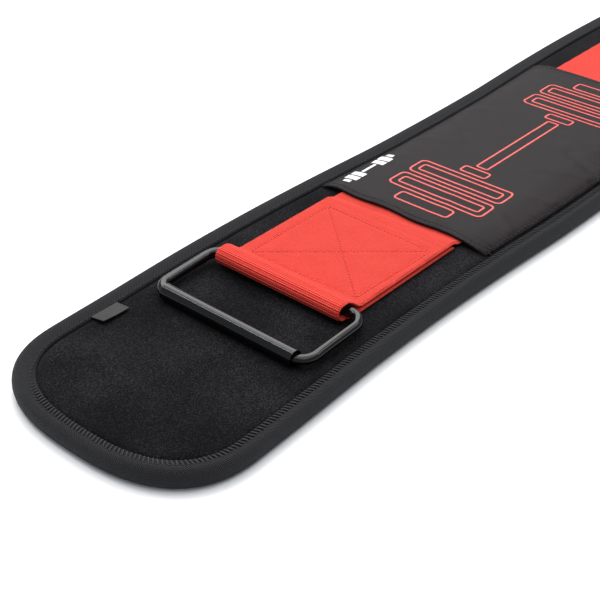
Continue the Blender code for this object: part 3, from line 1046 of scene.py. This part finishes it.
# %% [markdown]
# ## Seams of the bound rim
# One row of stitches runs all the way round on the tape's inner edge. In the channel beside the tight
# roll a zigzag of thicker thread crosses from the roll to the face, which reads as a row of small teeth.

# %% Seams of the bound rim
UP = Vector((0.0, 0.0, 1.0))
seam_walk, _ = rim_walk(900)
seam_tight = tightness(seam_walk[2])
seam_inset = 0.0088 + (0.0048 - 0.0088) * seam_tight
seam_height = 0.00862 + (0.00948 - 0.00862) * seam_tight
seam_x, seam_y = rim_points(seam_walk, seam_inset)
seam_line = [((x, y, z), UP, 1.0) for x, y, z in zip(seam_x, seam_y, seam_height)]
seam_line.append(seam_line[0])
rim_seam = sewn("rim_seam", [seam_line], 0.0026, STITCH, black_thread, seed=3)
lay(rim_seam, "belt", "binding_tape")

channel_x, channel_y = rim_points(seam_walk, np.full(900, 0.0076))
channel = [
    ((x, y, 0.00785), UP, float(weight))
    for x, y, weight in zip(channel_x, channel_y, seam_tight)
]
turn_at = int(np.argmin(seam_tight[:450]))
channel = channel[turn_at:] + channel[:turn_at]
channel = [point for point in channel if point[2] > 0.25]
rim_teeth = sewn("rim_teeth", [channel], 0.0019, TOOTH, black_thread, lean=0.32, unevenness=0.25, seed=5)
lay(rim_teeth, "belt", "binding_tape")

# %% [markdown]
# ## Box and cross stitches
# The strap's two layers are joined by a box with a cross. The thread is the strap's own red and sinks in,
# so what shows is mostly the row of needle holes: small dark red discs that are painted shade of the pits,
# laid with the same tree a half pitch away from the stitches.

# %% Box and cross stitches
def on_top_layer(x, y):
    """A place on the strap's upper face, about the middle of the back."""
    place = OVER_START + (x - (BAR_X + 0.0105))
    level = LOWER + float(upper_lift(x, y)) if x > BAR_X + 0.0105 else float(on_strap(place)[1])
    return level + WEBBING / 2 - 0.00022 + float(strap_relief(np.array([place]), np.array([y]))[0])


def box_line(start, end, shift):
    """One sewn line of the box as points on the webbing, moved along by a part of a stitch."""
    run = Vector((end[0] - start[0], end[1] - start[1]))
    count = int(run.length / 0.001)
    step = run.normalized()
    points = []
    for k in range(count + 1):
        place = Vector(start) + step * (shift + (run.length - shift) * k / count)
        points.append(((place.x, place.y, on_top_layer(place.x, place.y)), UP, 1.0))
    return points


BOX_PITCH = 0.0023
shown = BOX_LINES[1:]
hole_shade_lines = [box_line(a, b, BOX_PITCH / 2) for a, b in shown]
hole_shades = sewn("box_holes", hole_shade_lines, BOX_PITCH, HOLE_SHADE, needle_hole_shade, seed=7)
lay(hole_shades, "belt", "red_webbing")
thread_lines = [box_line(a, b, 0.0) for a, b in BOX_LINES]
box_thread = sewn("box_thread", thread_lines, BOX_PITCH, STITCH, red_thread, seed=8)
lay(box_thread, "belt", "red_webbing")

# %% [markdown]
# ## Ropy selvedge
# The webbing's edges are woven over a cord, so they look like a thin rope. Slanted beads along both
# edges, from the turned-back end round the fold and on to the tail, give that edge its real bumps.

# %% Ropy selvedge
PANEL_PLACES = (place_of(PANEL_START, LOWER), place_of(-PANEL_START, LOWER))
edge_lines = []
for side in (-1, 1):
    for start, end in ((0.0, PANEL_PLACES[0] + 0.004), (PANEL_PLACES[1] - 0.004, STRAP_LENGTH)):
        line = []
        for place in np.arange(start, end, 0.0008):
            x, z, up_x, up_z = (float(part) for part in on_strap(place))
            y = side * STRAP_HALF
            if place >= OVER_START and x < PANEL_START + 0.004:
                z = LOWER + float(upper_lift(x, y))
            x -= 0.0028 * side * max(0.0, 1 - place / 0.030)
            y -= 0.0005 * (1 - float(smooth_step(FOLD_START - 0.012, FOLD_END, place)))
            line.append(((x, y, z), Vector((up_x, 0.0, up_z)), 1.0))
        edge_lines.append(line)
selvedge_beads = sewn("selvedge_beads", edge_lines, 0.00118, BEAD, red_thread, lean=0.55, seed=9)
lay(selvedge_beads, "belt", "red_webbing")

# %% [markdown]
# ## Nylon cover
# A smooth nylon panel is sewn over the strap at the middle of the back. It is tight across the strap,
# sewn flat along both long edges, where every stitch draws a small pucker, and hemmed at its two ends. A
# few soft creases run in from the seams. All of that is one height for each place, so the print can
# follow the same surface.

# %% Nylon material
panel_nylon, tree, shader = node_material("panel_nylon")
lengthwise, crosswise = cloth_axes(tree)
plain = math_node(tree, "MULTIPLY", wave(tree, lengthwise, 0.00042), wave(tree, crosswise, 0.00042))
sheen_shift = grain(tree, 22.0, 3.0, 0.55)
tone = math_node(tree, "MULTIPLY_ADD", sheen_shift, 0.5)
tree.links.new(plain, tone.node.inputs[2])
# The colour carries painted sheen from the slow noise and painted shade in the pits of the plain weave.
colour = colours(tree, tone, (0.15, (0.0078, 0.0055, 0.0060)), (0.95, (0.0180, 0.0132, 0.0142)))
tree.links.new(colour, shader.inputs["Base Color"])
shader.inputs["Roughness"].default_value = 0.55
shader.inputs["Specular IOR Level"].default_value = 0.10
shader.inputs["Sheen Weight"].default_value = 0.0
shader.inputs["Sheen Roughness"].default_value = 0.3
shader.inputs["Sheen Tint"].default_value = (0.9, 0.82, 0.84, 1.0)
bump(tree, shader, plain, 0.00006, 0.5)

# %% The cover's height
PANEL_REACH = BAND_WIDTH / 2 - TAPE_COVER - PANEL_MARGIN
PANEL_FOOT = STRAP_LEVEL
PANEL_CREST = STRAP_LEVEL + WEBBING + GAP + 0.0015
PUCKER_PITCH = 0.0036

# Creases: start and end measured from the near edge and the strap's middle, depth and half width, in
# millimetres
CREASES = (
    (96, -52, 84, -26, 0.55, 3.4),
    (102, -52, 112, -30, -0.45, 3.0),
    (128, -52, 120, -24, 0.50, 3.8),
    (150, -52, 158, -30, 0.40, 3.4),
    (62, -52, 54, -34, 0.35, 3.2),
    (24, -52, 34, -36, 0.35, 3.0),
    (182, -52, 176, -28, 0.45, 3.6),
    (70, 50, 84, 24, 0.45, 4.0),
    (104, 50, 96, 28, -0.40, 3.4),
    (118, 50, 134, 22, 0.45, 4.2),
    (160, 50, 150, 26, 0.40, 3.8),
    (40, 50, 52, 34, 0.30, 3.4),
    (3, -20, 30, -12, 0.20, 4.0),
    (3, 16, 34, 30, 0.22, 4.5),
)
rng = np.random.default_rng(11)
pucker_shift = rng.uniform(-0.6, 0.6, 80)
pucker_length = rng.uniform(0.55, 1.25, 80)


def panel_edges(x):
    """The cover's two long edges at a place along the back."""
    middle = middle_line(x)
    return middle - PANEL_REACH, middle + PANEL_REACH


def panel_height(x, y):
    """Top of the cover at places about the middle of the back."""
    x, y = np.broadcast_arrays(np.asarray(x, float), np.asarray(y, float))
    low, high = panel_edges(x)
    from_right = np.clip(y - low, 0.0, 1.0)
    from_left = np.clip(high - y, 0.0, 1.0)
    to_strap = np.maximum(np.abs(y) - STRAP_HALF, 0.0)
    edge = np.minimum(from_right, from_left)
    rise = 1 - np.exp(-edge / 0.0042)
    plain = PANEL_FOOT + 0.0007 + (PANEL_CREST - PANEL_FOOT - 0.0007) * rise
    plain = plain - 0.0007 * smooth_step(0.0, 0.012, to_strap)
    along = x - PANEL_START
    step = np.clip((along / PUCKER_PITCH).astype(int), 0, 79)
    drift = pucker_shift[step] * np.sin(along * math.pi / PUCKER_PITCH) ** 2
    phase = along * math.tau / PUCKER_PITCH + drift
    ridge = np.abs(np.sin(phase / 2)) * 2 - 1.2
    fading = np.exp(-from_right / (0.0052 * pucker_length[step]))
    right = ridge * fading * smooth_step(0.0002, 0.0018, from_right)
    left = ridge * np.exp(-from_left / 0.0035) * smooth_step(0.0002, 0.0015, from_left)
    height = plain + right * 0.00060 + left * 0.00030
    for x0, y0, x1, y1, depth, width in CREASES:
        start = (PANEL_START + x0 / 1000, y0 / 1000)
        end = (PANEL_START + x1 / 1000, y1 / 1000)
        off = near_line(x, y, start, end) / (width / 1000)
        height = height + depth / 1000 * np.exp(-off * off) * smooth_step(0.0, 0.004, edge)
    ends = np.minimum(along, PANEL_LENGTH - along)
    groove = np.exp(-(((ends - 0.0026) / 0.0007) ** 2))
    hem = smooth_step(0.0, 0.0012, ends) * (1 - smooth_step(0.0045, 0.0065, ends))
    height = height + 0.00035 * hem - 0.00050 * groove
    scallop = np.sin(y * math.tau / 0.0031) * 0.00010 * np.exp(-ends / 0.003)
    return height + scallop


# %% The cover's skin
panel_rows = np.concatenate([
    np.linspace(0.0, 0.008, 21)[:-1],
    np.linspace(0.008, PANEL_LENGTH - 0.008, 236)[:-1],
    np.linspace(PANEL_LENGTH - 0.008, PANEL_LENGTH, 21),
]) + PANEL_START
panel_across = np.concatenate([
    np.linspace(-1.0, -0.72, 30)[:-1],
    np.linspace(-0.72, 0.72, 56)[:-1],
    np.linspace(0.72, 1.0, 26),
])
panel_x, share = np.meshgrid(panel_rows, panel_across, indexing="ij")
bow = 0.0006 * np.sin(panel_across * 9.0) * np.exp(-np.abs(panel_x - PANEL_START) / 0.010)
panel_y = middle_line(panel_x) + share * PANEL_REACH
panel_z = panel_height(panel_x, panel_y)
for k in range(panel_x.shape[0]):
    for j in range(0, panel_x.shape[1]):
        spot = Vector((panel_x[k, j] * 40.0, panel_y[k, j] * 40.0, 2.3))
        panel_z[k, j] += noise.noise(spot) * 0.00016
panel_uv = np.stack([panel_x, panel_y], axis=2)
panel_top = np.stack([panel_x + bow, panel_y, panel_z], axis=2)
CLOTH = 0.0006
from_hem = np.minimum(panel_x - PANEL_START, -PANEL_START - panel_x)
hem_drop = 0.0006 * (1 - smooth_step(0.004, 0.007, from_hem))
panel_under = panel_top - np.array([0.0, 0.0, 1.0]) * (CLOTH + hem_drop)[:, :, None]
over_strap = np.abs(panel_y) < STRAP_HALF + 0.0006
strap_clear = np.where(over_strap, STRAP_LEVEL + WEBBING + 0.00015, BAND_THICKNESS + 0.0002)
panel_under[:, :, 2] = np.maximum(panel_under[:, :, 2], strap_clear)
panel_cover = slab_piece("panel_cover", panel_top, panel_under, panel_uv)
panel_cover.data.materials.append(panel_nylon)
lay(panel_cover, "belt", "panel_nylon", "back_panel")

# %% Seams of the cover
def cover_point(x, y, lift=0.00004):
    return (float(x), float(y), float(panel_height(x, y)) + lift)


near_seam = [(cover_point(PANEL_START + 0.0026, y), UP, 1.0) for y in np.linspace(-0.0535, 0.0465, 120)]
far_middle = float(middle_line(-PANEL_START))
far_seam = [
    (cover_point(-PANEL_START - 0.0026, far_middle + share * (PANEL_REACH - 0.001)), UP, 1.0)
    for share in np.linspace(-1.0, 1.0, 120)
]
side_seams = []
for side in (-1, 1):
    line = []
    for x in np.linspace(PANEL_START + 0.002, -PANEL_START - 0.002, 240):
        y = float(middle_line(x)) + side * (PANEL_REACH - 0.0012)
        line.append((cover_point(x, y), UP, 1.0))
    side_seams.append(line)
cover_seams = sewn("cover_seams", [near_seam, far_seam, *side_seams], 0.0030, STITCH, black_thread, seed=13)
lay(cover_seams, "belt", "panel_nylon")

# %% [markdown]
# ## Print on the cover
# The cover carries a thin red outline print and a small white mark. Here they are a plain barbell in
# outline and a small solid one. Each line is a flat ribbon with a real thickness, like rubber print, and
# follows the cloth.

# %% Print materials
def ink_material(name, colour, wear_and_weave_shade):
    """Rubber print: slightly uneven in tone, with the cloth's grain showing through."""
    made, tree, shader = node_material(name)
    patch = grain(tree, 700.0, 3.0, 0.6)
    tone = colours(tree, patch, (0.30, wear_and_weave_shade), (0.55, colour))
    tree.links.new(tone, shader.inputs["Base Color"])
    shader.inputs["Roughness"].default_value = 0.5
    bump(tree, shader, patch, 0.00004, 0.5)
    return made


red_ink = ink_material("red_ink", (0.66, 0.048, 0.036), (0.44, 0.030, 0.024))
white_ink = ink_material("white_ink", (0.80, 0.80, 0.80), (0.62, 0.61, 0.61))

# %% Outlines of the barbell
PRINT_MIDDLE = -0.0045
PRINT_WIDTH = 0.0011
PRINT_RISE = 0.00016


def rounded_box(x0, x1, half, corner, middle=PRINT_MIDDLE):
    """A closed outline with round corners, from the cover's near edge and about the print's middle."""
    centres = (
        (x1 - corner, half - corner, 0),
        (x0 + corner, half - corner, 1),
        (x0 + corner, corner - half, 2),
        (x1 - corner, corner - half, 3),
    )
    outline = []
    for x, y, quarter in centres:
        for step in range(7):
            angle = math.pi / 2 * (quarter + step / 6)
            turn_x = PANEL_START + x + corner * math.cos(angle)
            outline.append((turn_x, middle + y + corner * math.sin(angle)))
    return outline


def spaced_loop(outline, spacing):
    """The same closed outline with points close enough to follow the cloth."""
    closed = np.array(outline + outline[:1])
    length = np.concatenate([[0.0], np.cumsum(np.linalg.norm(np.diff(closed, axis=0), axis=1))])
    keep = np.concatenate([[True], np.diff(length) > 1e-7])
    closed, length = closed[keep], length[keep]
    wanted = np.unique(np.concatenate([length[:-1], np.arange(0, length[-1], spacing)]))
    wanted = wanted[np.concatenate([[True], np.diff(wanted) > 0.0001])]
    return np.stack([np.interp(wanted, length, closed[:, k]) for k in range(2)], axis=1)


def ribbon(loop, width):
    """Ribbon section points along a closed loop: two top corners and two bottom corners."""
    ahead = np.roll(loop, -1, axis=0) - np.roll(loop, 1, axis=0)
    ahead /= np.linalg.norm(ahead, axis=1)[:, None]
    aside = np.stack([-ahead[:, 1], ahead[:, 0]], axis=1) * width / 2
    edges = (loop + aside, loop - aside)
    section = []
    near, far = edges[0], edges[1]
    for edge, rise in ((near, -0.00012), (near, PRINT_RISE), (far, PRINT_RISE), (far, -0.00012)):
        z = panel_height(edge[:, 0], edge[:, 1]) + rise
        section.append(np.concatenate([edge, z[:, None]], axis=1))
    return np.stack(section, axis=1)


def joined(name, pieces):
    """One mesh from several, which share their materials."""
    with bpy.context.temp_override(
        active_object=pieces[0],
        selected_editable_objects=pieces,
        selected_objects=pieces,
    ):
        bpy.ops.object.join()
    pieces[0].name = name
    pieces[0].data.name = name
    return pieces[0]


half_lengths = (
    (0.011, 0.019, 0.0165, 0.002),
    (0.0225, 0.0365, 0.0290, 0.003),
    (0.0400, 0.0540, 0.0290, 0.003),
    (0.0575, 0.0635, 0.0080, 0.0015),
)
outlines = [rounded_box(x0, x1, half, corner) for x0, x1, half, corner in half_lengths]
outlines += [
    rounded_box(PANEL_LENGTH - x1, PANEL_LENGTH - x0, half, corner)
    for x0, x1, half, corner in half_lengths
]
outlines.append(rounded_box(0.0665, PANEL_LENGTH - 0.0665, 0.0034, 0.001))
outlines += [
    rounded_box(x0 + 0.0038, x1 - 0.0038, half - 0.0038, 0.0015)
    for x0, x1, half, _ in half_lengths[1:3]
]
outlines += [
    rounded_box(PANEL_LENGTH - x1 + 0.0038, PANEL_LENGTH - x0 - 0.0038, half - 0.0038, 0.0015)
    for x0, x1, half, _ in half_lengths[1:3]
]
ribbons = []
for k, outline in enumerate(outlines):
    loop = spaced_loop(outline, 0.0009)
    points = ribbon(loop, PRINT_WIDTH)
    uv = np.zeros((len(loop) + 1, 5, 2))
    ribbons.append(grid_piece(f"outline_{k}", points, uv, wrap_rows=True, wrap_columns=True))
    ribbons[-1].data.materials.append(red_ink)
red_print = joined("red_print", ribbons)
red_print.data.set_sharp_from_angle(angle=math.radians(40))
lay(red_print, "belt", "panel_nylon")

# %% Small solid mark
MARK_MIDDLE = 0.0415
MARK_PLATES = (
    (0.0085, 0.0110, 0.0022),
    (0.0122, 0.0162, 0.0040),
    (0.0174, 0.0214, 0.0040),
    (0.0226, 0.0334, 0.0009),
    (0.0346, 0.0386, 0.0040),
    (0.0398, 0.0438, 0.0040),
    (0.0450, 0.0475, 0.0022),
)
marks = []
for k, (x0, x1, half) in enumerate(MARK_PLATES):
    along = np.linspace(PANEL_START + x0, PANEL_START + x1, max(3, round((x1 - x0) / 0.0008)))
    aside = np.linspace(MARK_MIDDLE - half, MARK_MIDDLE + half, max(3, round(half * 2 / 0.0008)))
    mark_x, mark_y = np.meshgrid(along, aside, indexing="ij")
    mark_z = panel_height(mark_x, mark_y)
    top = np.stack([mark_x, mark_y, mark_z + PRINT_RISE], axis=2)
    under = np.stack([mark_x, mark_y, mark_z - 0.0001], axis=2)
    marks.append(slab_piece(f"mark_{k}", top, under, np.stack([mark_x, mark_y], axis=2)))
    marks[-1].data.materials.append(white_ink)
white_mark = joined("white_mark", marks)
lay(white_mark, "belt", "panel_nylon")

# %% [markdown]
# ## Folded label
# A small satin label is caught under the tape and lies tilted on the face, folded at its free edge so
# that two layers and a dark gap show at its end. It is bare here. The section is drawn once and carried
# along the label.

# %% Folded label
label_satin, tree, shader = node_material("label_satin")
lengthwise, crosswise = cloth_axes(tree)
satin = wave(tree, crosswise, 0.00025)
# The satin's fine stripes are painted into the colour as shade between its floats.
satin_colour = colours(tree, satin, (0.0, (0.004, 0.004, 0.004)), (1.0, (0.014, 0.013, 0.014)))
tree.links.new(satin_colour, shader.inputs["Base Color"])
shader.inputs["Roughness"].default_value = 0.5
shader.inputs["Specular IOR Level"].default_value = 0.25
bump(tree, shader, satin, 0.00003, 0.6)

LABEL_LENGTH = 0.0155
LABEL_REACH = 0.0080
LABEL_CLOTH = 0.00028
LABEL_X = 0.0705 - HALF_BAND
label_root = float(middle_line(LABEL_X)) + BAND_WIDTH / 2 - TAPE_COVER - GAP


def label_section(lift):
    """Outer face of the folded cloth in side view: out along the bottom, round the fold and back on top."""
    out = np.linspace(0.0, LABEL_REACH, 9)
    low = 0.0086 + lift * (out / LABEL_REACH) ** 1.5
    bottom = np.stack([label_root - out, low], axis=1)
    top_level = low[::-1] + 0.00075 * (0.75 + 0.25 * out[::-1] / LABEL_REACH)
    top = np.stack([label_root - out[::-1], top_level], axis=1)
    angle = np.linspace(-math.pi / 2, math.pi / 2, 8)[1:-1]
    middle = (bottom[-1] + top[0]) / 2
    radius = (top[0, 1] - bottom[-1, 1]) / 2
    fold = np.stack([middle[0] - radius * np.cos(angle), middle[1] + radius * np.sin(angle)], axis=1)
    return np.concatenate([bottom, fold, top])


label_rows = []
LABEL_STEPS = 16
for step in range(LABEL_STEPS + 1):
    share = step / LABEL_STEPS
    outer_line = label_section(0.0003 + 0.0009 * (1 - share) ** 2 + 0.0002 * share**4)
    ahead = np.gradient(outer_line, axis=0)
    ahead /= np.linalg.norm(ahead, axis=1)[:, None]
    inner_line = outer_line + np.stack([-ahead[:, 1], ahead[:, 0]], axis=1) * -LABEL_CLOTH
    loop = np.concatenate([outer_line, inner_line[::-1]])
    x = np.full((len(loop), 1), LABEL_X + (share - 0.5) * LABEL_LENGTH)
    label_rows.append(np.concatenate([x, loop], axis=1))
label_points = np.stack(label_rows, axis=0)
LABEL_ROUND = 0.034
along_label = np.linspace(0, LABEL_LENGTH, LABEL_STEPS + 1)
round_label = np.linspace(0, LABEL_ROUND, label_points.shape[1] + 1)
label_uv = np.stack(np.meshgrid(along_label, round_label, indexing="ij"), axis=2)
folded_label = grid_piece("folded_label", label_points, label_uv, wrap_columns=True, cap=True)
folded_label.data.set_sharp_from_angle(angle=math.radians(45))
folded_label.data.materials.append(label_satin)
lay(folded_label, "belt", "label_cloth", "size_tag")

# %% [markdown]
# ## Ring and roller
# The ring is steel wire bent to a rectangle, and a rolled tube turns on its near bar. Both are dipped in
# gloss black enamel, which pools to a faint orange peel. The ring is a circle carried round a path with
# round corners, a little pressed where the bender held it.

# %% Enamel
def enamel(name, base, edge):
    """Gloss enamel over steel: a dark coat with a faint ripple, lighter in fine random specks."""
    made, tree, shader = node_material(name)
    ripple = grain(tree, 420.0, 2.0, 0.5)
    dust = grain(tree, 2600.0, 3.0, 0.7)
    tone = colours(tree, dust, (0.62, base), (0.80, edge))
    tree.links.new(tone, shader.inputs["Base Color"])
    rough = math_node(tree, "MULTIPLY_ADD", dust, 0.08)
    rough.node.inputs[2].default_value = 0.06
    tree.links.new(rough, shader.inputs["Roughness"])
    shader.inputs["Specular IOR Level"].default_value = 0.34
    bump(tree, shader, ripple, 0.00003, 0.5)
    return made


wire_enamel = enamel("wire_enamel", (0.0030, 0.0032, 0.0036), (0.010, 0.010, 0.011))
tube_enamel = enamel("tube_enamel", (0.0030, 0.0032, 0.0036), (0.012, 0.012, 0.013))

# %% Wire ring
RING_LENGTH = 0.0906
RING_SPAN = 0.0412
RING_CORNER = 0.0078
RING_SHIFT = -0.0021
ROLLER_RADIUS = 0.0040
ROLLER_Z = STRAP_LEVEL + 0.0037
WIRE_SHOWN = 0.0049
NEAR_BAR_Z = STRAP_LEVEL + 0.0032
RING_TILT = math.asin((BAR_Z - NEAR_BAR_Z) / RING_SPAN)


def ring_path():
    """The wire's middle line in the ring's own plane, closely spaced."""
    half = RING_LENGTH / 2 - RING_CORNER
    corners = (
        (-RING_CORNER, half, 0),
        (RING_CORNER - RING_SPAN, half, 1),
        (RING_CORNER - RING_SPAN, -half, 2),
        (-RING_CORNER, -half, 3),
    )
    path = []
    for x, y, quarter in corners:
        for step in range(17):
            angle = math.pi / 2 * (quarter + step / 16)
            path.append((x + RING_CORNER * math.cos(angle), y + RING_CORNER * math.sin(angle)))
    return spaced_loop(path, 0.0022)


ring_line = ring_path()
ahead = np.roll(ring_line, -1, axis=0) - np.roll(ring_line, 1, axis=0)
ahead /= np.linalg.norm(ahead, axis=1)[:, None]
outward = np.stack([ahead[:, 1], -ahead[:, 0]], axis=1)
WIRE_SIDES = 32
wire_rows = []
for place, out in zip(ring_line, outward):
    near_bend = math.exp(-(((abs(place[1]) - RING_LENGTH / 2 + 0.004) / 0.007) ** 2))
    near_bend *= math.exp(-(((place[0] + RING_SPAN - 0.003) / 0.008) ** 2))
    wide = WIRE_SHOWN / 2 * (1 + 0.13 * near_bend)
    tall = WIRE_SHOWN / 2 * (1 - 0.07 * near_bend)
    row = []
    for side in range(WIRE_SIDES):
        angle = math.tau * side / WIRE_SIDES
        aside = wide * math.cos(angle)
        local = (place[0] + out[0] * aside, place[1] + out[1] * aside, tall * math.sin(angle))
        x = local[0] * math.cos(RING_TILT) - local[2] * math.sin(RING_TILT)
        z = local[0] * math.sin(RING_TILT) + local[2] * math.cos(RING_TILT)
        row.append((BAR_X + x, RING_SHIFT + local[1], BAR_Z + z))
    wire_rows.append(row)
wire_points = np.array(wire_rows)
wire_uv = np.zeros((wire_points.shape[0] + 1, WIRE_SIDES + 1, 2))
wire_ring = grid_piece("wire_ring", wire_points, wire_uv, wrap_rows=True, wrap_columns=True)
wire_ring.data.materials.append(wire_enamel)
lay(wire_ring, "ring", "black_wire", "buckle_ring")

# %% Roller
ROLLER_LENGTH = RING_LENGTH - 2 * RING_CORNER + 0.0028
ROLLER_WALL = 0.0005
ROLLER_EXTRA = 0.0014
roller_x = BAR_X - math.sqrt(RING_SPAN**2 - (BAR_Z - ROLLER_Z) ** 2)
half = (ROLLER_LENGTH + ROLLER_EXTRA) / 2
lip = 0.00022
bore = ROLLER_RADIUS - ROLLER_WALL
roller_profile = [(ROLLER_RADIUS - lip * 1.6, half)]
roller_profile += [
    (ROLLER_RADIUS - lip * (1 - math.sin(a)), half - lip * (1 - math.cos(a)))
    for a in np.linspace(0.3, math.pi / 2, 4)
]
roller_profile += [(ROLLER_RADIUS, y) for y in np.linspace(half - 0.001, 0.001 - half, 24)]
roller_profile += [
    (ROLLER_RADIUS - lip * (1 - math.sin(a)), lip * (1 - math.cos(a)) - half)
    for a in np.linspace(math.pi / 2, 0.3, 4)
]
roller_profile += [(ROLLER_RADIUS - lip * 1.6, -half), (bore + 0.0001, -half), (bore, 0.0002 - half)]
roller_profile += [(bore, y) for y in np.linspace(0.004 - half, half - 0.004, 6)]
roller_profile += [(bore, half - 0.0002), (bore + 0.0001, half)]
ROLLER_SIDES = 72
roller_rows = []
for side in range(ROLLER_SIDES):
    angle = math.tau * side / ROLLER_SIDES
    from_seam = min(abs(angle - 4.4), math.tau - abs(angle - 4.4))
    dip = 0.00018 * math.exp(-((from_seam / 0.06) ** 2))
    row = []
    for radius, y in roller_profile:
        reach = radius - (dip if radius > bore + 0.0003 else 0.0)
        across = roller_x + reach * math.cos(angle)
        up = ROLLER_Z + reach * math.sin(angle)
        row.append((across, RING_SHIFT - ROLLER_EXTRA / 2 + y, up))
    roller_rows.append(row)
roller_points = np.array(roller_rows)
roller_uv = np.zeros((ROLLER_SIDES + 1, len(roller_profile) + 1, 2))
tube_roller = grid_piece("tube_roller", roller_points, roller_uv, wrap_rows=True, wrap_columns=True)
tube_roller.data.set_sharp_from_angle(angle=math.radians(40))
tube_roller.data.materials.append(tube_enamel)
lay(tube_roller, "roller", "black_tube", "buckle_roller")

# %% [markdown]
# ## Hook patch
# The tail ends in a patch of hook tape: a stiff woven base, sewn round its edge, with rows of small
# plastic hooks that all lean the same way. A grid of points in Geometry Nodes carries one hook each, with
# a little unevenness.

# %% Hook patch
PATCH_LENGTH = 0.100
PATCH_MARGIN = 0.002
PATCH_BASE = WEBBING + 0.00012
patch_from = TAIL_TIP - PATCH_MARGIN - PATCH_LENGTH
patch_x, patch_y = np.meshgrid(
    np.linspace(patch_from, TAIL_TIP - PATCH_MARGIN, 60),
    np.linspace(-STRAP_HALF + PATCH_MARGIN, STRAP_HALF - PATCH_MARGIN, 46),
    indexing="ij",
)
patch_edge = np.minimum(
    np.minimum(patch_x - patch_from, TAIL_TIP - PATCH_MARGIN - patch_x),
    STRAP_HALF - PATCH_MARGIN - np.abs(patch_y),
)
patch_z = PATCH_BASE + 0.00042 - 0.00018 * np.exp(-(((patch_edge - 0.0022) / 0.0009) ** 2))
patch_top = np.stack([patch_x, patch_y, patch_z], axis=2)
patch_under = np.stack([patch_x, patch_y, np.full_like(patch_z, PATCH_BASE)], axis=2)
hook_tape = herringbone("hook_tape", (0.005, 0.005, 0.006), (0.022, 0.022, 0.024), 0.0008, 0.0016, 0.6)
patch_base = slab_piece("patch_base", patch_top, patch_under, np.stack([patch_x, patch_y], axis=2))
patch_base.data.materials.append(hook_tape)
lay(patch_base, "belt", "hook_tape", "hook_patch")

HOOK = tube_mesh(
    "hook_shape",
    [(0, 0, -0.0001), (0, 0, 0.00035), (0.00008, 0, 0.00058), (0.00030, 0, 0.00066), (0.00046, 0, 0.00052)],
    [0.00011, 0.00010, 0.00010, 0.00009, 0.00006],
    4,
)
hook_plastic, tree, shader = node_material("hook_plastic")
tree.links.new(
    colours(tree, grain(tree, 800.0), (0.3, (0.006, 0.006, 0.007)), (0.7, (0.020, 0.020, 0.022))),
    shader.inputs["Base Color"],
)
shader.inputs["Roughness"].default_value = 0.38
hook_rows = []
for k, y in enumerate(np.arange(-STRAP_HALF + 0.0065, STRAP_HALF - 0.0060, 0.0015)):
    start, end = patch_from + 0.0045, TAIL_TIP - PATCH_MARGIN - 0.0045
    steps = np.linspace(start, end, 8)
    line = [((float(x), float(y), PATCH_BASE + 0.00042), UP, 1.0 if k % 2 else -1.0) for x in steps]
    hook_rows.append(line)
hooks = sewn("hook_field", hook_rows, 0.0015, HOOK, hook_plastic, unevenness=0.5, seed=17)
lay(hooks, "belt", "hook_tape")

patch_seam = []
inset = 0.0022
low_x, high_x = patch_from + inset, TAIL_TIP - PATCH_MARGIN - inset
side_y = STRAP_HALF - PATCH_MARGIN - inset
square = ((low_x, -side_y), (high_x, -side_y), (high_x, side_y), (low_x, side_y), (low_x, -side_y))
seam_level = PATCH_BASE + 0.00030
for start, end in zip(square, square[1:]):
    xs = np.linspace(start[0], end[0], 30)
    ys = np.linspace(start[1], end[1], 30)
    patch_seam.append([((float(x), float(y), seam_level), UP, 1.0) for x, y in zip(xs, ys)])
patch_stitches = sewn("patch_stitches", patch_seam, 0.0027, STITCH, black_thread, seed=19)
lay(patch_stitches, "belt", "hook_tape")
